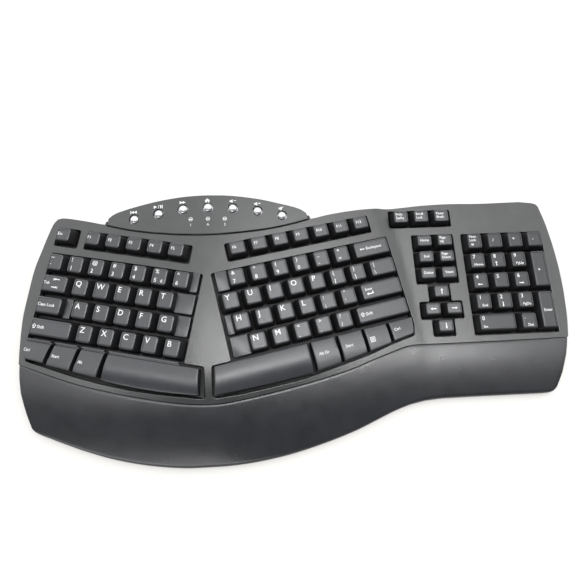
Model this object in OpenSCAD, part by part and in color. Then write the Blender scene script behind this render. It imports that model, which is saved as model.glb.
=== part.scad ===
// Ergonomic split keyboard with a keypad, a palm rest and a media panel
// Frame: origin at the bottom centre of the box, X right, Y to the rear, Z up

/* [Keys] */
// Spacing of neighbouring key centres
key_pitch = 19.05; // [18.9:0.05:19.2]
// Gap between the skirts of neighbouring keys, side to side
cap_gap = 0.9; // [0.8:0.1:1.4]
// Gap between the skirts of neighbouring rows
row_gap = 1.9; // [1.6:0.1:2.4]
// How much narrower the top of a key is than its pitch
cap_taper_x = 6.6; // [6:0.1:7]
// How much shallower the top of a key is than its pitch
cap_taper_y = 5.1; // [4.8:0.1:5.4]
// Height of a keycap from skirt to top
cap_height = 9.2; // [8.8:0.1:9.4]
// Thickness of the roof of a keycap
cap_roof = 1.8; // [1.4:0.1:2]
// Height of the low shelf beside some keys, above the skirt
shelf_height = 4.2; // [3:0.1:5]
// Height of a key top above the case skin
cap_rise = 6; // [5.5:0.1:6.5]
// Drop of the front edge of the bottom row keys
front_roll = 6.5; // [5.5:0.1:6.6]

/* [Key guides] */
// Key travel
travel = 3.2; // [2.6:0.1:3.2]
// Side of the square plunger under a key
plunger_w = 6.2; // [5.6:0.1:6.4]
// Clearance around the plunger in its guide
guide_clear = 0.2; // [0.15:0.05:0.3]
// Wall of the square guide tube
guide_wall = 1; // [0.8:0.1:1.1]
// Thickness of the guide plate
plate_t = 1.4; // [1:0.1:1.4]
// Thickness of the rubber dome sheet
sheet_t = 0.8; // [0.6:0.1:0.8]
// Thickness of the printed membrane
membrane_t = 0.5; // [0.3:0.1:0.5]
// Thickness of the steel backplate
backplate_t = 1; // [0.6:0.1:1]
// Radius of the wire of the space bar stabilizers
wire_r = 0.6; // [0.5:0.05:0.65]

/* [Case] */
// Wall thickness of the covers
wall = 2.4; // [2:0.1:2.6]
// Thickness of the floor
floor_t = 2; // [1.8:0.1:2]
// Height of the rubber feet under the floor
pad_h = 1.6; // [1.2:0.1:1.6]
// Radius of the rubber feet
pad_r = 7; // [5:0.5:8]
// Height of the tray wall above the floor
tray_wall = 1.9; // [1.4:0.1:2.2]
// Gap along the seams between the covers
seam_gap = 0.4; // [0.3:0.1:0.6]
// Thickness of the palm rest shell
palm_t = 2.4; // [2:0.1:3]
// Shank radius of the case screws
screw_r = 1.5; // [1.2:0.1:1.6]
// Clearance around a screw
screw_clear = 0.2; // [0.15:0.05:0.3]

/* [Media panel] */
// Height of the media panel above the case skin
pod_rise = 1.2; // [0.8:0.1:1.4]
// Depth of the media panel below the case skin
pod_sink = 1.6; // [1.4:0.1:1.8]
// Radius of a media button
button_r = 3.7; // [3.4:0.1:3.8]
// Clearance around a media button
button_clear = 0.3; // [0.25:0.05:0.4]
// Height of a media button above the panel
button_rise = 1.6; // [1.2:0.1:1.8]
// Travel of a media button
button_travel = 0.8; // [0.6:0.1:0.9]

/* [Tilt feet and cable] */
// Width of a tilt foot
foot_w = 40; // [34:1:42]
// Length of a tilt foot from its pivot
foot_l = 17; // [14:0.5:17]
// Thickness of a tilt foot
foot_t = 4; // [3.4:0.1:4]
// Radius of the pivot pins of a tilt foot
pivot_r = 1.4; // [1.2:0.1:1.5]
// Clearance of the pivot pins
pivot_clear = 0.2; // [0.15:0.05:0.3]
// Radius of the cable bore in the gland
cable_r = 2; // [1.6:0.1:2.2]

/* [Hidden] */
$fn = 48;

case_color = [0.38, 0.39, 0.4];
palm_color = [0.25, 0.25, 0.27];
key_color = [0.4, 0.41, 0.42];
silver_color = [0.8, 0.8, 0.82];
rubber_color = [0.1, 0.1, 0.1];
board_color = [0.1, 0.35, 0.2];
steel_color = [0.6, 0.6, 0.62];

// The layout lists are drawn in units, of which this many make one key pitch
units_per_pitch = 19.05;
spread = key_pitch / units_per_pitch;

// Places and turns of the three key planes, at the height of the key tops
left_pos = [-116.5, 9.3, 41] * spread;
left_turn = [4.1, -6.1, -12.5];
right_pos = [-58, 6.6, 41] * spread;
right_turn = [4.1, 6.1, 12.5];
pad_pos = [182, 30, 22.5] * spread;
pad_turn = [1.7, 0, 0];
// Flat crown between the halves and the flank down to the keypad
crown_pos = [-87, 9, 43.2] * spread;
crown_turn = [2.7, 0, 0];
flank_x = 154 * spread;
flank_turn = [0, 28, 0];

// Levels below the key tops
skin_z = -cap_rise;
skirt_z = -cap_height;
roof_z = -cap_roof;
guide_top_z = -7.6;
plunger_z = -11;
plate_top_z = -13.2;
plate_z = plate_top_z - plate_t;
sheet_z = plate_z - sheet_t;
membrane_z = sheet_z - membrane_t;
backplate_z = membrane_z - backplate_t;
dome_r_low = 3;
dome_r_top = 2.2;
guide_hole = plunger_w + 2 * guide_clear;
guide_w = guide_hole + 2 * guide_wall;

// Heights of the tray
floor_z = pad_h;
floor_top = floor_z + floor_t;
rim_z = floor_top + tray_wall;
reach = 1000;
deep = 400;
tall = 60;

// Rows of the main block and of the function row, in pitches from the plane's centre
row_1 = 1.5;
row_2 = 0.5;
row_3 = -0.5;
row_4 = -1.5;
row_f = 2.83;
depth_f = 0.86;
depth_nav = 0.81;
nav_step = 0.816;
// Bottom row, in mm: rear edge and shape of the caps
low_rear = -40 * spread;
low_inset = 1.6;
low_depth = 25 * spread;
roll_power = 2.4;
plunger_join = 0.4;

// Keys as [left, right, row, depth, left shelf, right shelf] in pitches
function row_of(first, count, row, depth = 1) =
  [for (i = [0:count - 1]) [first + i, first + i + 1, row, depth, 0, 0]];
escape_list = row_of(-6, 1, row_f, depth_f);
f_left_list = row_of(-4.53, 5, row_f, depth_f);
f_right_list = row_of(0.35, 7, row_f, depth_f);
number_left_list = concat(row_of(-6, 6, row_1), [[0, 1, row_1, 1, 0, 0.25]]);
number_right_list = concat([[0, 1, row_1, 1, 0.45, 0]], row_of(1, 5, row_1));
backspace_list = [[6, 8, row_1, 1, 0, 0]];
tab_list = [[-6, -4.5, row_2, 1, 0, 0]];
upper_left_list = concat(row_of(-4.5, 4, row_2), [[-0.5, 0.5, row_2, 1, 0, 0.75]]);
upper_right_list = row_of(-0.5, 7, row_2);
backslash_list = [[6.5, 8, row_2, 1, 0, 0]];
caps_list = [[-6, -4.5, row_3, 1, 0, 0.25]];
home_left_list = concat(row_of(-4.25, 4, row_3), [[-0.25, 0.75, row_3, 1, 0, 0.5]]);
home_right_list = concat([[-0.25, 0.75, row_3, 1, 0.2, 0]], row_of(0.75, 5, row_3));
enter_list = [[5.75, 8, row_3, 1, 0, 0]];
left_shift_list = [[-6, -3.75, row_4, 1, 0, 0]];
lower_left_list = row_of(-3.75, 5, row_4);
lower_right_list = concat([[0.25, 1.25, row_4, 1, 0.7, 0]], row_of(1.25, 4, row_4));
right_shift_list = [[5.25, 8, row_4, 1, 0, 0]];
system_list = row_of(-4.96, 3, 3.38, depth_f);
nav_list = [for (i = [0:2]) for (k = row_of(-3.95, 2, 2.115 - i * nav_step, depth_nav)) k];
arrow_list = concat(row_of(-3.44, 1, -0.43, depth_nav), row_of(-3.94, 2, -1.255, depth_nav),
  row_of(-3.44, 1, -2.075, depth_nav));
pad_col_4 = 1.465;
digit_list = concat(row_of(-1.5, 3, 1), row_of(-1.5, 3, 0), row_of(-1.5, 3, -1), row_of(0.5, 1, -2));
zero_list = [[-1.5, 0.5, -2, 1, 0, 0]];
plus_list = [[pad_col_4, pad_col_4 + 1, 0.5, 2, 0, 0]];
pad_enter_list = [[pad_col_4, pad_col_4 + 1, -1.5, 2, 0, 0]];
operator_list = concat(row_of(-1.5, 3, 2), row_of(pad_col_4, 1, 2));

// Bottom row: fronts of the keys from left to right, and lean of the slanting sides
left_fronts = [-56.2, -57.4, -58.6, -60, -60.4, -61.6, -63, -62.8] * spread;
right_fronts = [-62.6, -65.2, -64.8, -63.4, -63, -60.8, -60.2, -57.8, -56.8, -54.6] * spread;
ctrl_lean = 3.6;
low_lean = -1.9;
space_lean = 4.6;
// Bottom row keys as [left, right, left front, right front, lean of the left and right sides] in mm
left_low_x = [-6, -4.6, -3.35, -2.1] * key_pitch;
left_space_end = 2.14 * key_pitch;
right_low_x = [2.89, 4.17, 5.43, 6.66, 8] * key_pitch;
right_space_end = -1.41 * key_pitch;
left_ctrl_low = [left_low_x[0], left_low_x[1], left_fronts[0], left_fronts[1], ctrl_lean, low_lean];
left_start_low = [left_low_x[1], left_low_x[2], left_fronts[2], left_fronts[3], low_lean, low_lean];
left_alt_low = [left_low_x[2], left_low_x[3], left_fronts[4], left_fronts[5], low_lean, low_lean];
left_space_low = [left_low_x[3], left_space_end, left_fronts[6], left_fronts[7], low_lean, space_lean];
right_space_low = [right_space_end, right_low_x[0], right_fronts[0], right_fronts[1], -space_lean, 0];
right_alt_low = [right_low_x[0], right_low_x[1], right_fronts[2], right_fronts[3], 0, 0];
right_start_low = [right_low_x[1], right_low_x[2], right_fronts[4], right_fronts[5], 0, 0];
menu_low = [right_low_x[2], right_low_x[3], right_fronts[6], right_fronts[7], 0, 0];
right_ctrl_low = [right_low_x[3], right_low_x[4], right_fronts[8], right_fronts[9], 0, -ctrl_lean];
left_lows = [left_ctrl_low, left_start_low, left_alt_low, left_space_low];
right_lows = [right_space_low, right_alt_low, right_start_low, menu_low, right_ctrl_low];

// Space bar stabilizers: wire axis, arm and ends, in the key plane
wire_y = -44.5 * spread;
wire_z = -9.4;
arm_l = 10;
arm_half = 30;
arm_end = 3;
arm_lift = asin(travel / 2 / arm_l);
bracket_half = 17;
bracket_w = 4;
bracket_top = 1.4;
lug_w = 3;
lug_y = 4;
lug_slot = 1.9;
lug_shift = 0.9;
lug_play = 0.8;
lug_top = -3;
left_space_x = (left_low_x[3] + left_space_end) / 2;
right_space_x = (right_low_x[0] + right_space_end) / 2;

// Sides of the key wells, a little outside the skirts
well_gap = 1.1;
well_depth = 6;
well_top = 20 * spread;
well_side = 2.5;
front_gap = 2.2;
lean_gap = 0.8;
stack_gap = 0.6;
well_r_left = 1.25 * key_pitch + well_gap;
well_l_right = -0.45 * key_pitch - well_side;
well_rear = 2 * key_pitch - row_gap / 2 + well_gap / 3;
f_front = row_f * key_pitch - depth_f * key_pitch / 2 - well_gap / 4;
f_rear = row_f * key_pitch + depth_f * key_pitch / 2 - well_gap / 4;
low_back = low_rear + well_gap;
left_well = [[-6 * key_pitch - well_gap / 2, well_rear], [well_r_left, well_rear], [well_r_left, low_back],
  [left_space_end, low_back], [left_space_end + space_lean + lean_gap, left_fronts[7] - front_gap],
  [left_low_x[3], left_fronts[6] - front_gap], [left_low_x[1], left_fronts[2] - front_gap],
  [left_low_x[0] + ctrl_lean - lean_gap / 2, left_fronts[0] - front_gap],
  [-6 * key_pitch - well_gap / 2, low_back]];
right_well = [[well_l_right, well_rear], [8 * key_pitch + well_gap / 2, well_rear],
  [8 * key_pitch + well_gap / 2, right_fronts[9] - front_gap], [right_low_x[3], right_fronts[7] - front_gap],
  [right_low_x[2], right_fronts[5] - front_gap], [right_low_x[1], right_fronts[3] - front_gap],
  [right_low_x[0], right_fronts[1] - front_gap],
  [right_space_end - space_lean - lean_gap, right_fronts[0] - front_gap],
  [right_space_end, low_back], [well_l_right, low_back]];

// Outline of the whole case seen from above, clockwise from the left end of the palm seam
left_edge = [[-243, -25], [-243.3, -6], [-242.5, 15], [-240, 32], [-235.5, 57], [-230, 74], [-223, 92.5],
  [-219.5, 99.5], [-216, 103], [-211, 104]] * spread;
rear_left_edge = [[-196, 101], [-183, 97.5], [-172, 94]] * spread;
pod_rear_edge = [[-169.5, 97], [-166.5, 102], [-160, 105.5], [-144, 109.8], [-123.5, 113.4], [-102, 115.6],
  [-80, 116.4], [-58, 116], [-34, 113.4], [-15, 109.5], [-4, 106.3], [5, 102], [9.5, 97]] * spread;
rear_right_edge = [[13, 93.8], [29, 98.3], [56, 103.3], [86, 106.2], [132, 108.2], [170, 108.8],
  [226, 109.3]] * spread;
right_edge = [[232, 107.8], [235, 104.5], [236.6, 99], [238.5, 85], [241.3, 63.5], [242.8, 44], [243.2, 24],
  [242.6, 10], [241.5, -6], [239, -23]] * spread;
front_edge = [[-243, -25], [-242, -37], [-240, -49], [-235, -65], [-231, -76], [-227, -81.5], [-210, -89],
  [-187, -98], [-164, -105.5], [-141, -111], [-118, -114.6], [-96, -116.4], [-73, -116.4], [-50, -115],
  [-25, -111.5], [-8, -108], [16, -101.6], [41, -93.5], [58, -86.5], [76, -79], [90, -74.4], [104, -71.6],
  [119, -70.4], [145, -70.2], [179, -70.2], [212, -70.2], [218, -69], [222, -65.5], [229, -52], [235, -37],
  [239, -23]] * spread;
seam_edge = [[-243, -25], [-226, -32.2], [-208, -39.2], [-188, -46.2], [-168, -51.8], [-149, -56.6],
  [-130, -60.8], [-111, -64.4], [-94, -66.7], [-80, -67.5], [-68, -67], [-57, -65.4], [-40, -62.4],
  [-20, -58.4], [0, -54], [20, -49], [40, -43.2], [60, -35.8], [80, -28.6], [90, -25], [98, -23.9],
  [132, -23.8], [185, -23.6], [239, -23]] * spread;
pod_seam = [[10, 92], [-7, 87], [-26, 82.6], [-51, 78.8], [-75, 76.8], [-99, 77.4], [-124, 80.6],
  [-148, 85.4], [-169, 91.6]] * spread;

function turned(pts) = [for (i = [len(pts) - 1:-1:0]) pts[i]];
function tail(pts) = [for (i = [1:len(pts) - 1]) pts[i]];
rear_loop = concat(left_edge, rear_left_edge, pod_rear_edge, rear_right_edge, right_edge);
top_outline = concat(rear_loop, tail(turned(tail(seam_edge))));
case_outline = concat(rear_loop, tail(turned(tail(front_edge))));
pod_outline = concat(pod_rear_edge, pod_seam);

// Points of a clockwise outline moved inwards by d
function way(a, b) = (b - a) / norm(b - a);
function inward(a, b, c) = let (n = way(a, b) + way(b, c)) [n[1], -n[0]] / norm(n);
function inset(pts, d) = [for (i = [0:len(pts) - 1])
  let (n = len(pts)) pts[i] + d * inward(pts[(i + n - 1) % n], pts[i], pts[(i + 1) % n])];

// Height of the case skin over a point
function slope_x(turn) = -tan(turn[1]);
function slope_y(turn) = tan(turn[0]) * cos(turn[2]) + slope_x(turn) * sin(turn[2]);
function plane_z(pos, turn, x, y) = pos[2] - cap_rise +
  (slope_x(turn) * cos(turn[2]) - tan(turn[0]) * sin(turn[2])) * (x - pos[0]) +
  slope_y(turn) * (y - pos[1]);
function skin_at(x, y) = max(plane_z(pad_pos, pad_turn, x, y), min(plane_z(left_pos, left_turn, x, y),
  plane_z(right_pos, right_turn, x, y), plane_z(crown_pos, crown_turn, x, y)));

// Palm rest: a patch between the seam, the front and both sides, with a rounded fall to the front lip
palm_n = 44;
palm_m = 8;
palm_power = 2.1;
palm_drop = 0.6;
lip_h = 3;
palm_depth = 50;
left_corner = -229 * spread;
right_corner = 222 * spread;
left_side_n = 6;
right_side_n = 4;
front_n = len(front_edge);
seam_left = seam_edge[0][0];
seam_width = seam_edge[len(seam_edge) - 1][0] - seam_left;
function flipped(first, last) = [for (i = [first:last]) [front_edge[i][1], front_edge[i][0]]];
left_side = flipped(0, left_side_n - 1);
right_side = flipped(front_n - right_side_n, front_n - 1);
function seam_point(s) = let (x = seam_left + seam_width * s) [x, lookup(x, seam_edge) - seam_gap];
function front_point(s) = let (x = left_corner + (right_corner - left_corner) * s)
  [x, lookup(x, front_edge)];
function mix(a, b, t) = a + (b - a) * t;
function side_point(side, s, t) = let (y = mix(seam_point(s)[1], front_point(s)[1], t)) [lookup(y, side), y];
function palm_xy(s, t) = mix(seam_point(s), front_point(s), t) +
  (1 - s) * (side_point(left_side, 0, t) - mix(seam_point(0), front_point(0), t)) +
  s * (side_point(right_side, 1, t) - mix(seam_point(1), front_point(1), t));
function palm_z(s, t) = let (p = seam_point(s), low = rim_z + lip_h)
  low + (skin_at(p[0], p[1]) - palm_drop - low) * (1 - pow(t, palm_power));
function palm_grid(ds, dt, dz) = [for (i = [0:palm_n]) for (j = [0:palm_m])
  let (s = mix(ds, 1 - ds, i / palm_n), t = mix(dt, 1 - dt, j / palm_m))
  concat(palm_xy(s, t), palm_z(s, t) - dz)];
palm_row = palm_m + 1;
palm_count = (palm_n + 1) * palm_row;
palm_rim = concat([for (i = [0:palm_n]) i * palm_row], [for (j = [1:palm_m]) palm_n * palm_row + j],
  [for (i = [palm_n - 1:-1:0]) i * palm_row + palm_m], [for (j = [palm_m - 1:-1:1]) j]);
palm_out = palm_grid(0, 0, 0);
palm_in = palm_grid(palm_t / seam_width, palm_t / palm_depth, palm_t);
function at_rim(grid) = [for (k = palm_rim) [grid[k][0], grid[k][1], rim_z]];
rim_n = len(palm_rim);
rim_out = palm_count;
in_first = rim_out + rim_n;
rim_in = in_first + palm_count;
palm_points = concat(palm_out, at_rim(palm_out), palm_in, at_rim(palm_in));
palm_cells = [for (i = [0:palm_n - 1]) for (j = [0:palm_m - 1]) i * palm_row + j];
palm_faces = concat(
  [for (a = palm_cells) [a, a + palm_row, a + palm_row + 1]],
  [for (a = palm_cells) [a, a + palm_row + 1, a + 1]],
  [for (a = palm_cells) [a + palm_row + 1, a + palm_row, a] + in_first * [1, 1, 1]],
  [for (a = palm_cells) [a + 1, a + palm_row + 1, a] + in_first * [1, 1, 1]],
  [for (k = [0:rim_n - 1]) let (n = (k + 1) % rim_n) [rim_out + k, rim_out + n, palm_rim[n], palm_rim[k]]],
  [for (k = [0:rim_n - 1]) let (n = (k + 1) % rim_n)
    [in_first + palm_rim[k], in_first + palm_rim[n], rim_in + n, rim_in + k]],
  [for (k = [0:rim_n - 1]) let (n = (k + 1) % rim_n) [rim_in + k, rim_in + n, rim_out + n, rim_out + k]]);

// Media buttons along an arc of the pod, lights, screws, feet and ribs
button_x = [-144.3, -122.5, -100.8, -79, -57.4, -35.7, -14] * spread;
button_y = [95, 98.2, 100.6, 101.4, 101, 98.9, 95] * spread;
light_x = [-94, -79, -64.4] * spread;
light_y = 88.4 * spread;
light_r = 1.2;
light_clear = 0.15;
flange_r = 4.8;
flange_t = 1;
flange_gap = 1.1;
dome_ball = 7;
pod_wall = 4;
media_board_z = 25 * spread;
media_board_t = 1.6;
media_board_box = [-152, -8, 86, 104] * spread;
switch_w = 5.2;
post_r = 3;
post_list = [[-148, 92], [-108, 92], [-48, 92], [-10, 92]] * spread;
screw_list = [[-233, 44], [-80.5, 12], [-80.5, -18], [-190, 94.8], [76.5, 94], [214, 99],
  [236, 16]] * spread;
boss_r = 4;
screw_l = 9;
head_r = 3;
head_t = 1.2;
rib_t = 2;
left_ribs = [-212, -180, -140] * spread;
right_ribs = [-36, 4, 44] * spread;
pad_ribs = [128, 170, 214] * spread;
rib_y_left = [-14, 58] * spread;
rib_y_right = [-20, 62] * spread;
rib_y_pad = [-12, 70] * spread;
board_box = [-92, -42, 64, 86] * spread;
board_z = 9;
board_t = 1.6;
standoff_r = 2.5;
standoff_in = 5;
chip_h = 2;
chip_w = 14;

// Tilt feet: pivot places, pocket and range
foot_pivots = [[-178, 84], [184, 100.4]] * spread;
pivot_z = 4.4;
pin_l = 2.4;
pocket_gap = 0.5;
pocket_wall = 3;
pocket_roof = 2;
pocket_top = pivot_z + foot_t / 2 + pocket_gap;

// Rubber feet, one of them beside the left tilt foot
pad_list = concat([[-200, -74], [-79, -98], [200, -54], [60, 90], [225, 89]] * spread,
  [[foot_pivots[0][0] - foot_w / 2 - pad_r - pocket_wall, foot_pivots[0][1] - foot_t / 2]]);
pad_seat = 0.6;

// Cable gland in the rear wall behind the keypad
gland_x = 152.5 * spread;
gland_y = 105.2 * spread;
gland_w = 9;
gland_h = 6.4;
gland_l = 8;
gland_flange = 1.5;
gland_z = rim_z + gland_h / 2;

module left_plane() translate(left_pos) rotate(left_turn) children();
module right_plane() translate(right_pos) rotate(right_turn) children();
module pad_plane() translate(pad_pos) rotate(pad_turn) children();

module slab(top) translate([-reach / 2, -reach / 2, top - deep]) cube([reach, reach, deep]);

// Everything below the case skin, moved down by d
module under_skin(d) {
  intersection() {
    left_plane() slab(skin_z - d);
    right_plane() slab(skin_z - d);
    translate(crown_pos) rotate(crown_turn) slab(skin_z - d);
    right_plane() translate([flank_x, 0, skin_z - d]) rotate(flank_turn) slab(0);
  }
  pad_plane() slab(skin_z - d);
}

module prism(pts, z0, z1) translate([0, 0, z0]) linear_extrude(z1 - z0) polygon(pts);

module box(x0, x1, y0, y1, z0, z1) translate([x0, y0, z0]) cube([x1 - x0, y1 - y0, z1 - z0]);

// Trapezoid prism across one axis, for the drafted sides of a keycap
module draft_x(low, high, depth) rotate([90, 0, 0]) translate([0, 0, -depth / 2]) linear_extrude(depth)
  polygon([[-low / 2, skirt_z], [low / 2, skirt_z], [high / 2, 0], [-high / 2, 0]]);

module cap(key) {
  w = (key[1] - key[0]) * key_pitch;
  d = key[3] * key_pitch;
  x = (key[0] + key[1]) / 2 * key_pitch;
  y = key[2] * key_pitch;
  low_x = w - cap_gap;
  low_y = d - row_gap;
  top_x = w - cap_taper_x;
  top_y = d - cap_taper_y;
  left = key[4] * key_pitch;
  right = key[5] * key_pitch;
  hole_x = top_x - guide_clear;
  hole_y = top_y - guide_clear;
  translate([x, y, 0]) {
    difference() {
      union() {
        intersection() {
          draft_x(low_x, top_x, d);
          rotate([0, 0, 90]) draft_x(low_y, top_y, w);
        }
        if (left > 0)
          box(-low_x / 2 - left, -top_x / 2, -low_y / 2, low_y / 2, skirt_z, skirt_z + shelf_height);
        if (right > 0)
          box(top_x / 2, low_x / 2 + right, -low_y / 2, low_y / 2, skirt_z, skirt_z + shelf_height);
      }
      box(-hole_x / 2, hole_x / 2, -hole_y / 2, hole_y / 2, skirt_z - 1, roof_z);
    }
    box(-plunger_w / 2, plunger_w / 2, -plunger_w / 2, plunger_w / 2, plunger_z, roof_z);
  }
}

module caps(keys) for (key = keys) cap(key);

// Bottom row keys: the top rolls down to the front
function roll_z(t) = -front_roll * pow(t, roll_power);
function roll_profile(drop) = concat([[low_rear + 3, skirt_z - drop], [low_rear + 3, -drop]],
  [for (i = [0:10]) [low_rear - i / 10 * low_depth, max(roll_z(i / 10) - drop, skirt_z - drop)]],
  [[low_rear - low_depth - 3, max(roll_z(1) - drop, skirt_z - drop)],
    [low_rear - low_depth - 3, skirt_z - drop]]);
module roll(drop) rotate([90, 0, 90]) translate([0, 0, -reach / 2]) linear_extrude(reach)
  polygon(roll_profile(drop));

function low_plan(key, in) = [[key[0] + in, low_rear - in + low_inset],
  [key[1] - in, low_rear - in + low_inset], [key[1] - in + key[5], key[3] + in - low_inset],
  [key[0] + in + key[4], key[2] + in - low_inset]];

function low_spot(key) = [(key[0] + key[1]) / 2, (low_rear + (key[2] + key[3]) / 2) / 2];

module low_cap(key) {
  difference() {
    intersection() {
      prism(low_plan(key, low_inset), skirt_z, 1);
      roll(0);
    }
    intersection() {
      prism(low_plan(key, low_inset + cap_roof), skirt_z - 1, 1);
      roll(cap_roof);
    }
  }
  translate(low_spot(key))
    box(-plunger_w / 2, plunger_w / 2, -plunger_w / 2, plunger_w / 2, plunger_z, roof_z - plunger_join);
}

// A space bar carries two slotted lugs for the ends of its stabilizer wire
module space_bar(key, x) {
  low_cap(key);
  for (side = [-1, 1]) translate([x + side * (arm_half + arm_end / 2), wire_y - arm_l, 0]) difference() {
    box(-lug_w / 2 + side * lug_shift, lug_w / 2 + side * lug_shift, -lug_y / 2, lug_y / 2,
      wire_z + travel / 2 - lug_slot, lug_top);
    translate([0, 0, wire_z + travel / 2])
      cube([3 * lug_w, lug_slot + lug_play, lug_slot], center = true);
  }
}

module stabilizer(x) translate([x, wire_y, wire_z]) {
  rotate([0, 90, 0]) cylinder(r = wire_r, h = 2 * (arm_half + wire_r), center = true);
  for (side = [-1, 1]) translate([side * arm_half, 0, 0]) rotate([-arm_lift, 0, 0]) {
    rotate([90, 0, 0]) cylinder(r = wire_r, h = arm_l + wire_r);
    translate([side * arm_end / 2, -arm_l, 0]) rotate([0, 90, 0])
      cylinder(r = wire_r, h = arm_end + 2 * wire_r, center = true);
  }
}

// Footprints of the stacked plates under each block
left_stack = [[-6 * key_pitch, f_rear + 1], [0.68 * key_pitch, f_rear + 1], [0.68 * key_pitch, f_front],
  [well_r_left + 1, well_rear], [well_r_left + 1, low_back], [left_space_end + 1, low_back],
  [left_space_end + space_lean, left_fronts[7] - stack_gap], [left_low_x[3], left_fronts[6] - stack_gap],
  [left_low_x[0] + ctrl_lean, left_fronts[0] - stack_gap], [-6 * key_pitch, low_back]];
right_stack = [[0.26 * key_pitch, f_rear + 1], [7.35 * key_pitch, f_rear + 1], [7.35 * key_pitch, f_front],
  [8 * key_pitch, well_rear], [8 * key_pitch, right_fronts[9] - stack_gap],
  [right_low_x[3], right_fronts[7] - stack_gap], [right_low_x[0], right_fronts[1] - stack_gap],
  [right_space_end - space_lean, right_fronts[0] - stack_gap], [right_space_end, low_back],
  [well_l_right - 1, low_back],
  [well_l_right - 1, well_rear], [0.26 * key_pitch, f_front]];
pad_stack = [[-5.02, 3.8], [-1.92, 3.8], [-1.92, 2.52], [2.52, 2.52], [2.52, -2.58], [-4.02, -2.58],
  [-4.02, 2.52], [-5.02, 2.7]] * key_pitch;

// Plunger places of each block
function spots(keys) = [for (k = keys) [(k[0] + k[1]) / 2, k[2]] * key_pitch];
left_spots = concat(spots(concat(escape_list, f_left_list, number_left_list, tab_list, upper_left_list,
  caps_list, home_left_list, left_shift_list, lower_left_list)),
  [for (k = left_lows) low_spot(k)]);
right_spots = concat(spots(concat(f_right_list, number_right_list, backspace_list, upper_right_list,
  backslash_list, home_right_list, enter_list, lower_right_list, right_shift_list)),
  [for (k = right_lows) low_spot(k)]);
pad_spots = spots(concat(system_list, nav_list, arrow_list, digit_list, zero_list, plus_list, pad_enter_list,
  operator_list));

module guides(stack, points) difference() {
  union() {
    prism(stack, plate_z, plate_top_z);
    for (p = points) translate(p)
      box(-guide_w / 2, guide_w / 2, -guide_w / 2, guide_w / 2, plate_z, guide_top_z);
  }
  for (p = points) translate(p)
    box(-guide_hole / 2, guide_hole / 2, -guide_hole / 2, guide_hole / 2, plate_z - 1, guide_top_z + 1);
}

// Two brackets on a guide plate that hold the wire of a stabilizer
module brackets(x) for (side = [-1, 1]) translate([x + side * bracket_half, wire_y, 0]) difference() {
  box(-bracket_w / 2, bracket_w / 2, -bracket_w / 2, bracket_w / 2, plate_top_z, wire_z + bracket_top);
  translate([0, 0, wire_z]) rotate([0, 90, 0])
    cylinder(r = wire_r + guide_clear, h = bracket_w + 2, center = true);
}

module domes(stack, points) {
  prism(stack, sheet_z, plate_z);
  for (p = points) translate([p[0], p[1], plate_z])
    cylinder(r1 = dome_r_low, r2 = dome_r_top, h = plunger_z - plate_z);
}

module key_frames() color(rubber_color) {
  left_plane() {
    guides(left_stack, left_spots);
    brackets(left_space_x);
  }
  right_plane() {
    guides(right_stack, right_spots);
    brackets(right_space_x);
  }
  pad_plane() guides(pad_stack, pad_spots);
}

module dome_sheets() color(rubber_color) {
  left_plane() domes(left_stack, left_spots);
  right_plane() domes(right_stack, right_spots);
  pad_plane() domes(pad_stack, pad_spots);
}

module stacks(z0, z1) {
  left_plane() prism(left_stack, z0, z1);
  right_plane() prism(right_stack, z0, z1);
  pad_plane() prism(pad_stack, z0, z1);
}

module membranes() color(board_color) stacks(membrane_z, sheet_z);
module backplates() color(steel_color) stacks(backplate_z, membrane_z);

// Wells for the keys, cut along the normals of the key planes
module pad_well(x0, x1, y0, y1) box(x0, x1, y0, y1, skin_z - well_depth, well_top);

module wells() {
  left_plane() {
    prism(left_well, skin_z - well_depth, well_top);
    pad_well(-6 * key_pitch - well_gap / 2, -4.85 * key_pitch, f_front, f_rear);
    pad_well(-4.53 * key_pitch - well_gap / 2, 0.58 * key_pitch, f_front, f_rear);
  }
  right_plane() {
    prism(right_well, skin_z - well_depth, well_top);
    pad_well(0.31 * key_pitch, 7.35 * key_pitch + well_gap / 2, f_front, f_rear);
  }
  pad_plane() {
    pad_well(-5.01 * key_pitch, -1.92 * key_pitch, 2.91 * key_pitch, 3.8 * key_pitch);
    pad_well(-3.98 * key_pitch, -1.92 * key_pitch, 0.02 * key_pitch, 2.5 * key_pitch);
    pad_well(-3.47 * key_pitch, -2.41 * key_pitch, -2.52 * key_pitch, 0.1 * key_pitch);
    pad_well(-3.97 * key_pitch, -1.91 * key_pitch, -1.7 * key_pitch, -0.85 * key_pitch);
    pad_well(-1.53 * key_pitch, 2.5 * key_pitch, -2.54 * key_pitch, 2.48 * key_pitch);
  }
}

module columns(places, r, z0, z1) for (p = places) translate([p[0], p[1], z0]) cylinder(r = r, h = z1 - z0);

module gland_notch(gap) box(gland_x - gland_w / 2 - gap, gland_x + gland_w / 2 + gap, gland_y - gland_l,
  gland_y + gland_l, rim_z, rim_z + gland_h + gap);

module top_cover() color(case_color) difference() {
  union() {
    intersection() {
      difference() {
        prism(top_outline, rim_z, tall);
        prism(inset(top_outline, wall), rim_z - 1, tall + 1);
      }
      under_skin(0);
    }
    difference() {
      intersection() {
        prism(inset(top_outline, wall / 2), rim_z, tall);
        under_skin(0);
      }
      under_skin(wall);
    }
    intersection() {
      columns(screw_list, boss_r, rim_z, tall);
      under_skin(wall / 2);
      prism(inset(top_outline, wall / 2), rim_z, tall);
    }
  }
  columns(screw_list, screw_r + screw_clear, rim_z - 1, rim_z + screw_l);
  wells();
  difference() {
    prism(inset(pod_outline, -seam_gap), rim_z, tall);
    under_skin(pod_sink);
  }
  prism(inset(pod_outline, pod_wall), media_board_z, tall);
  gland_notch(seam_gap / 2);
}

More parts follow.
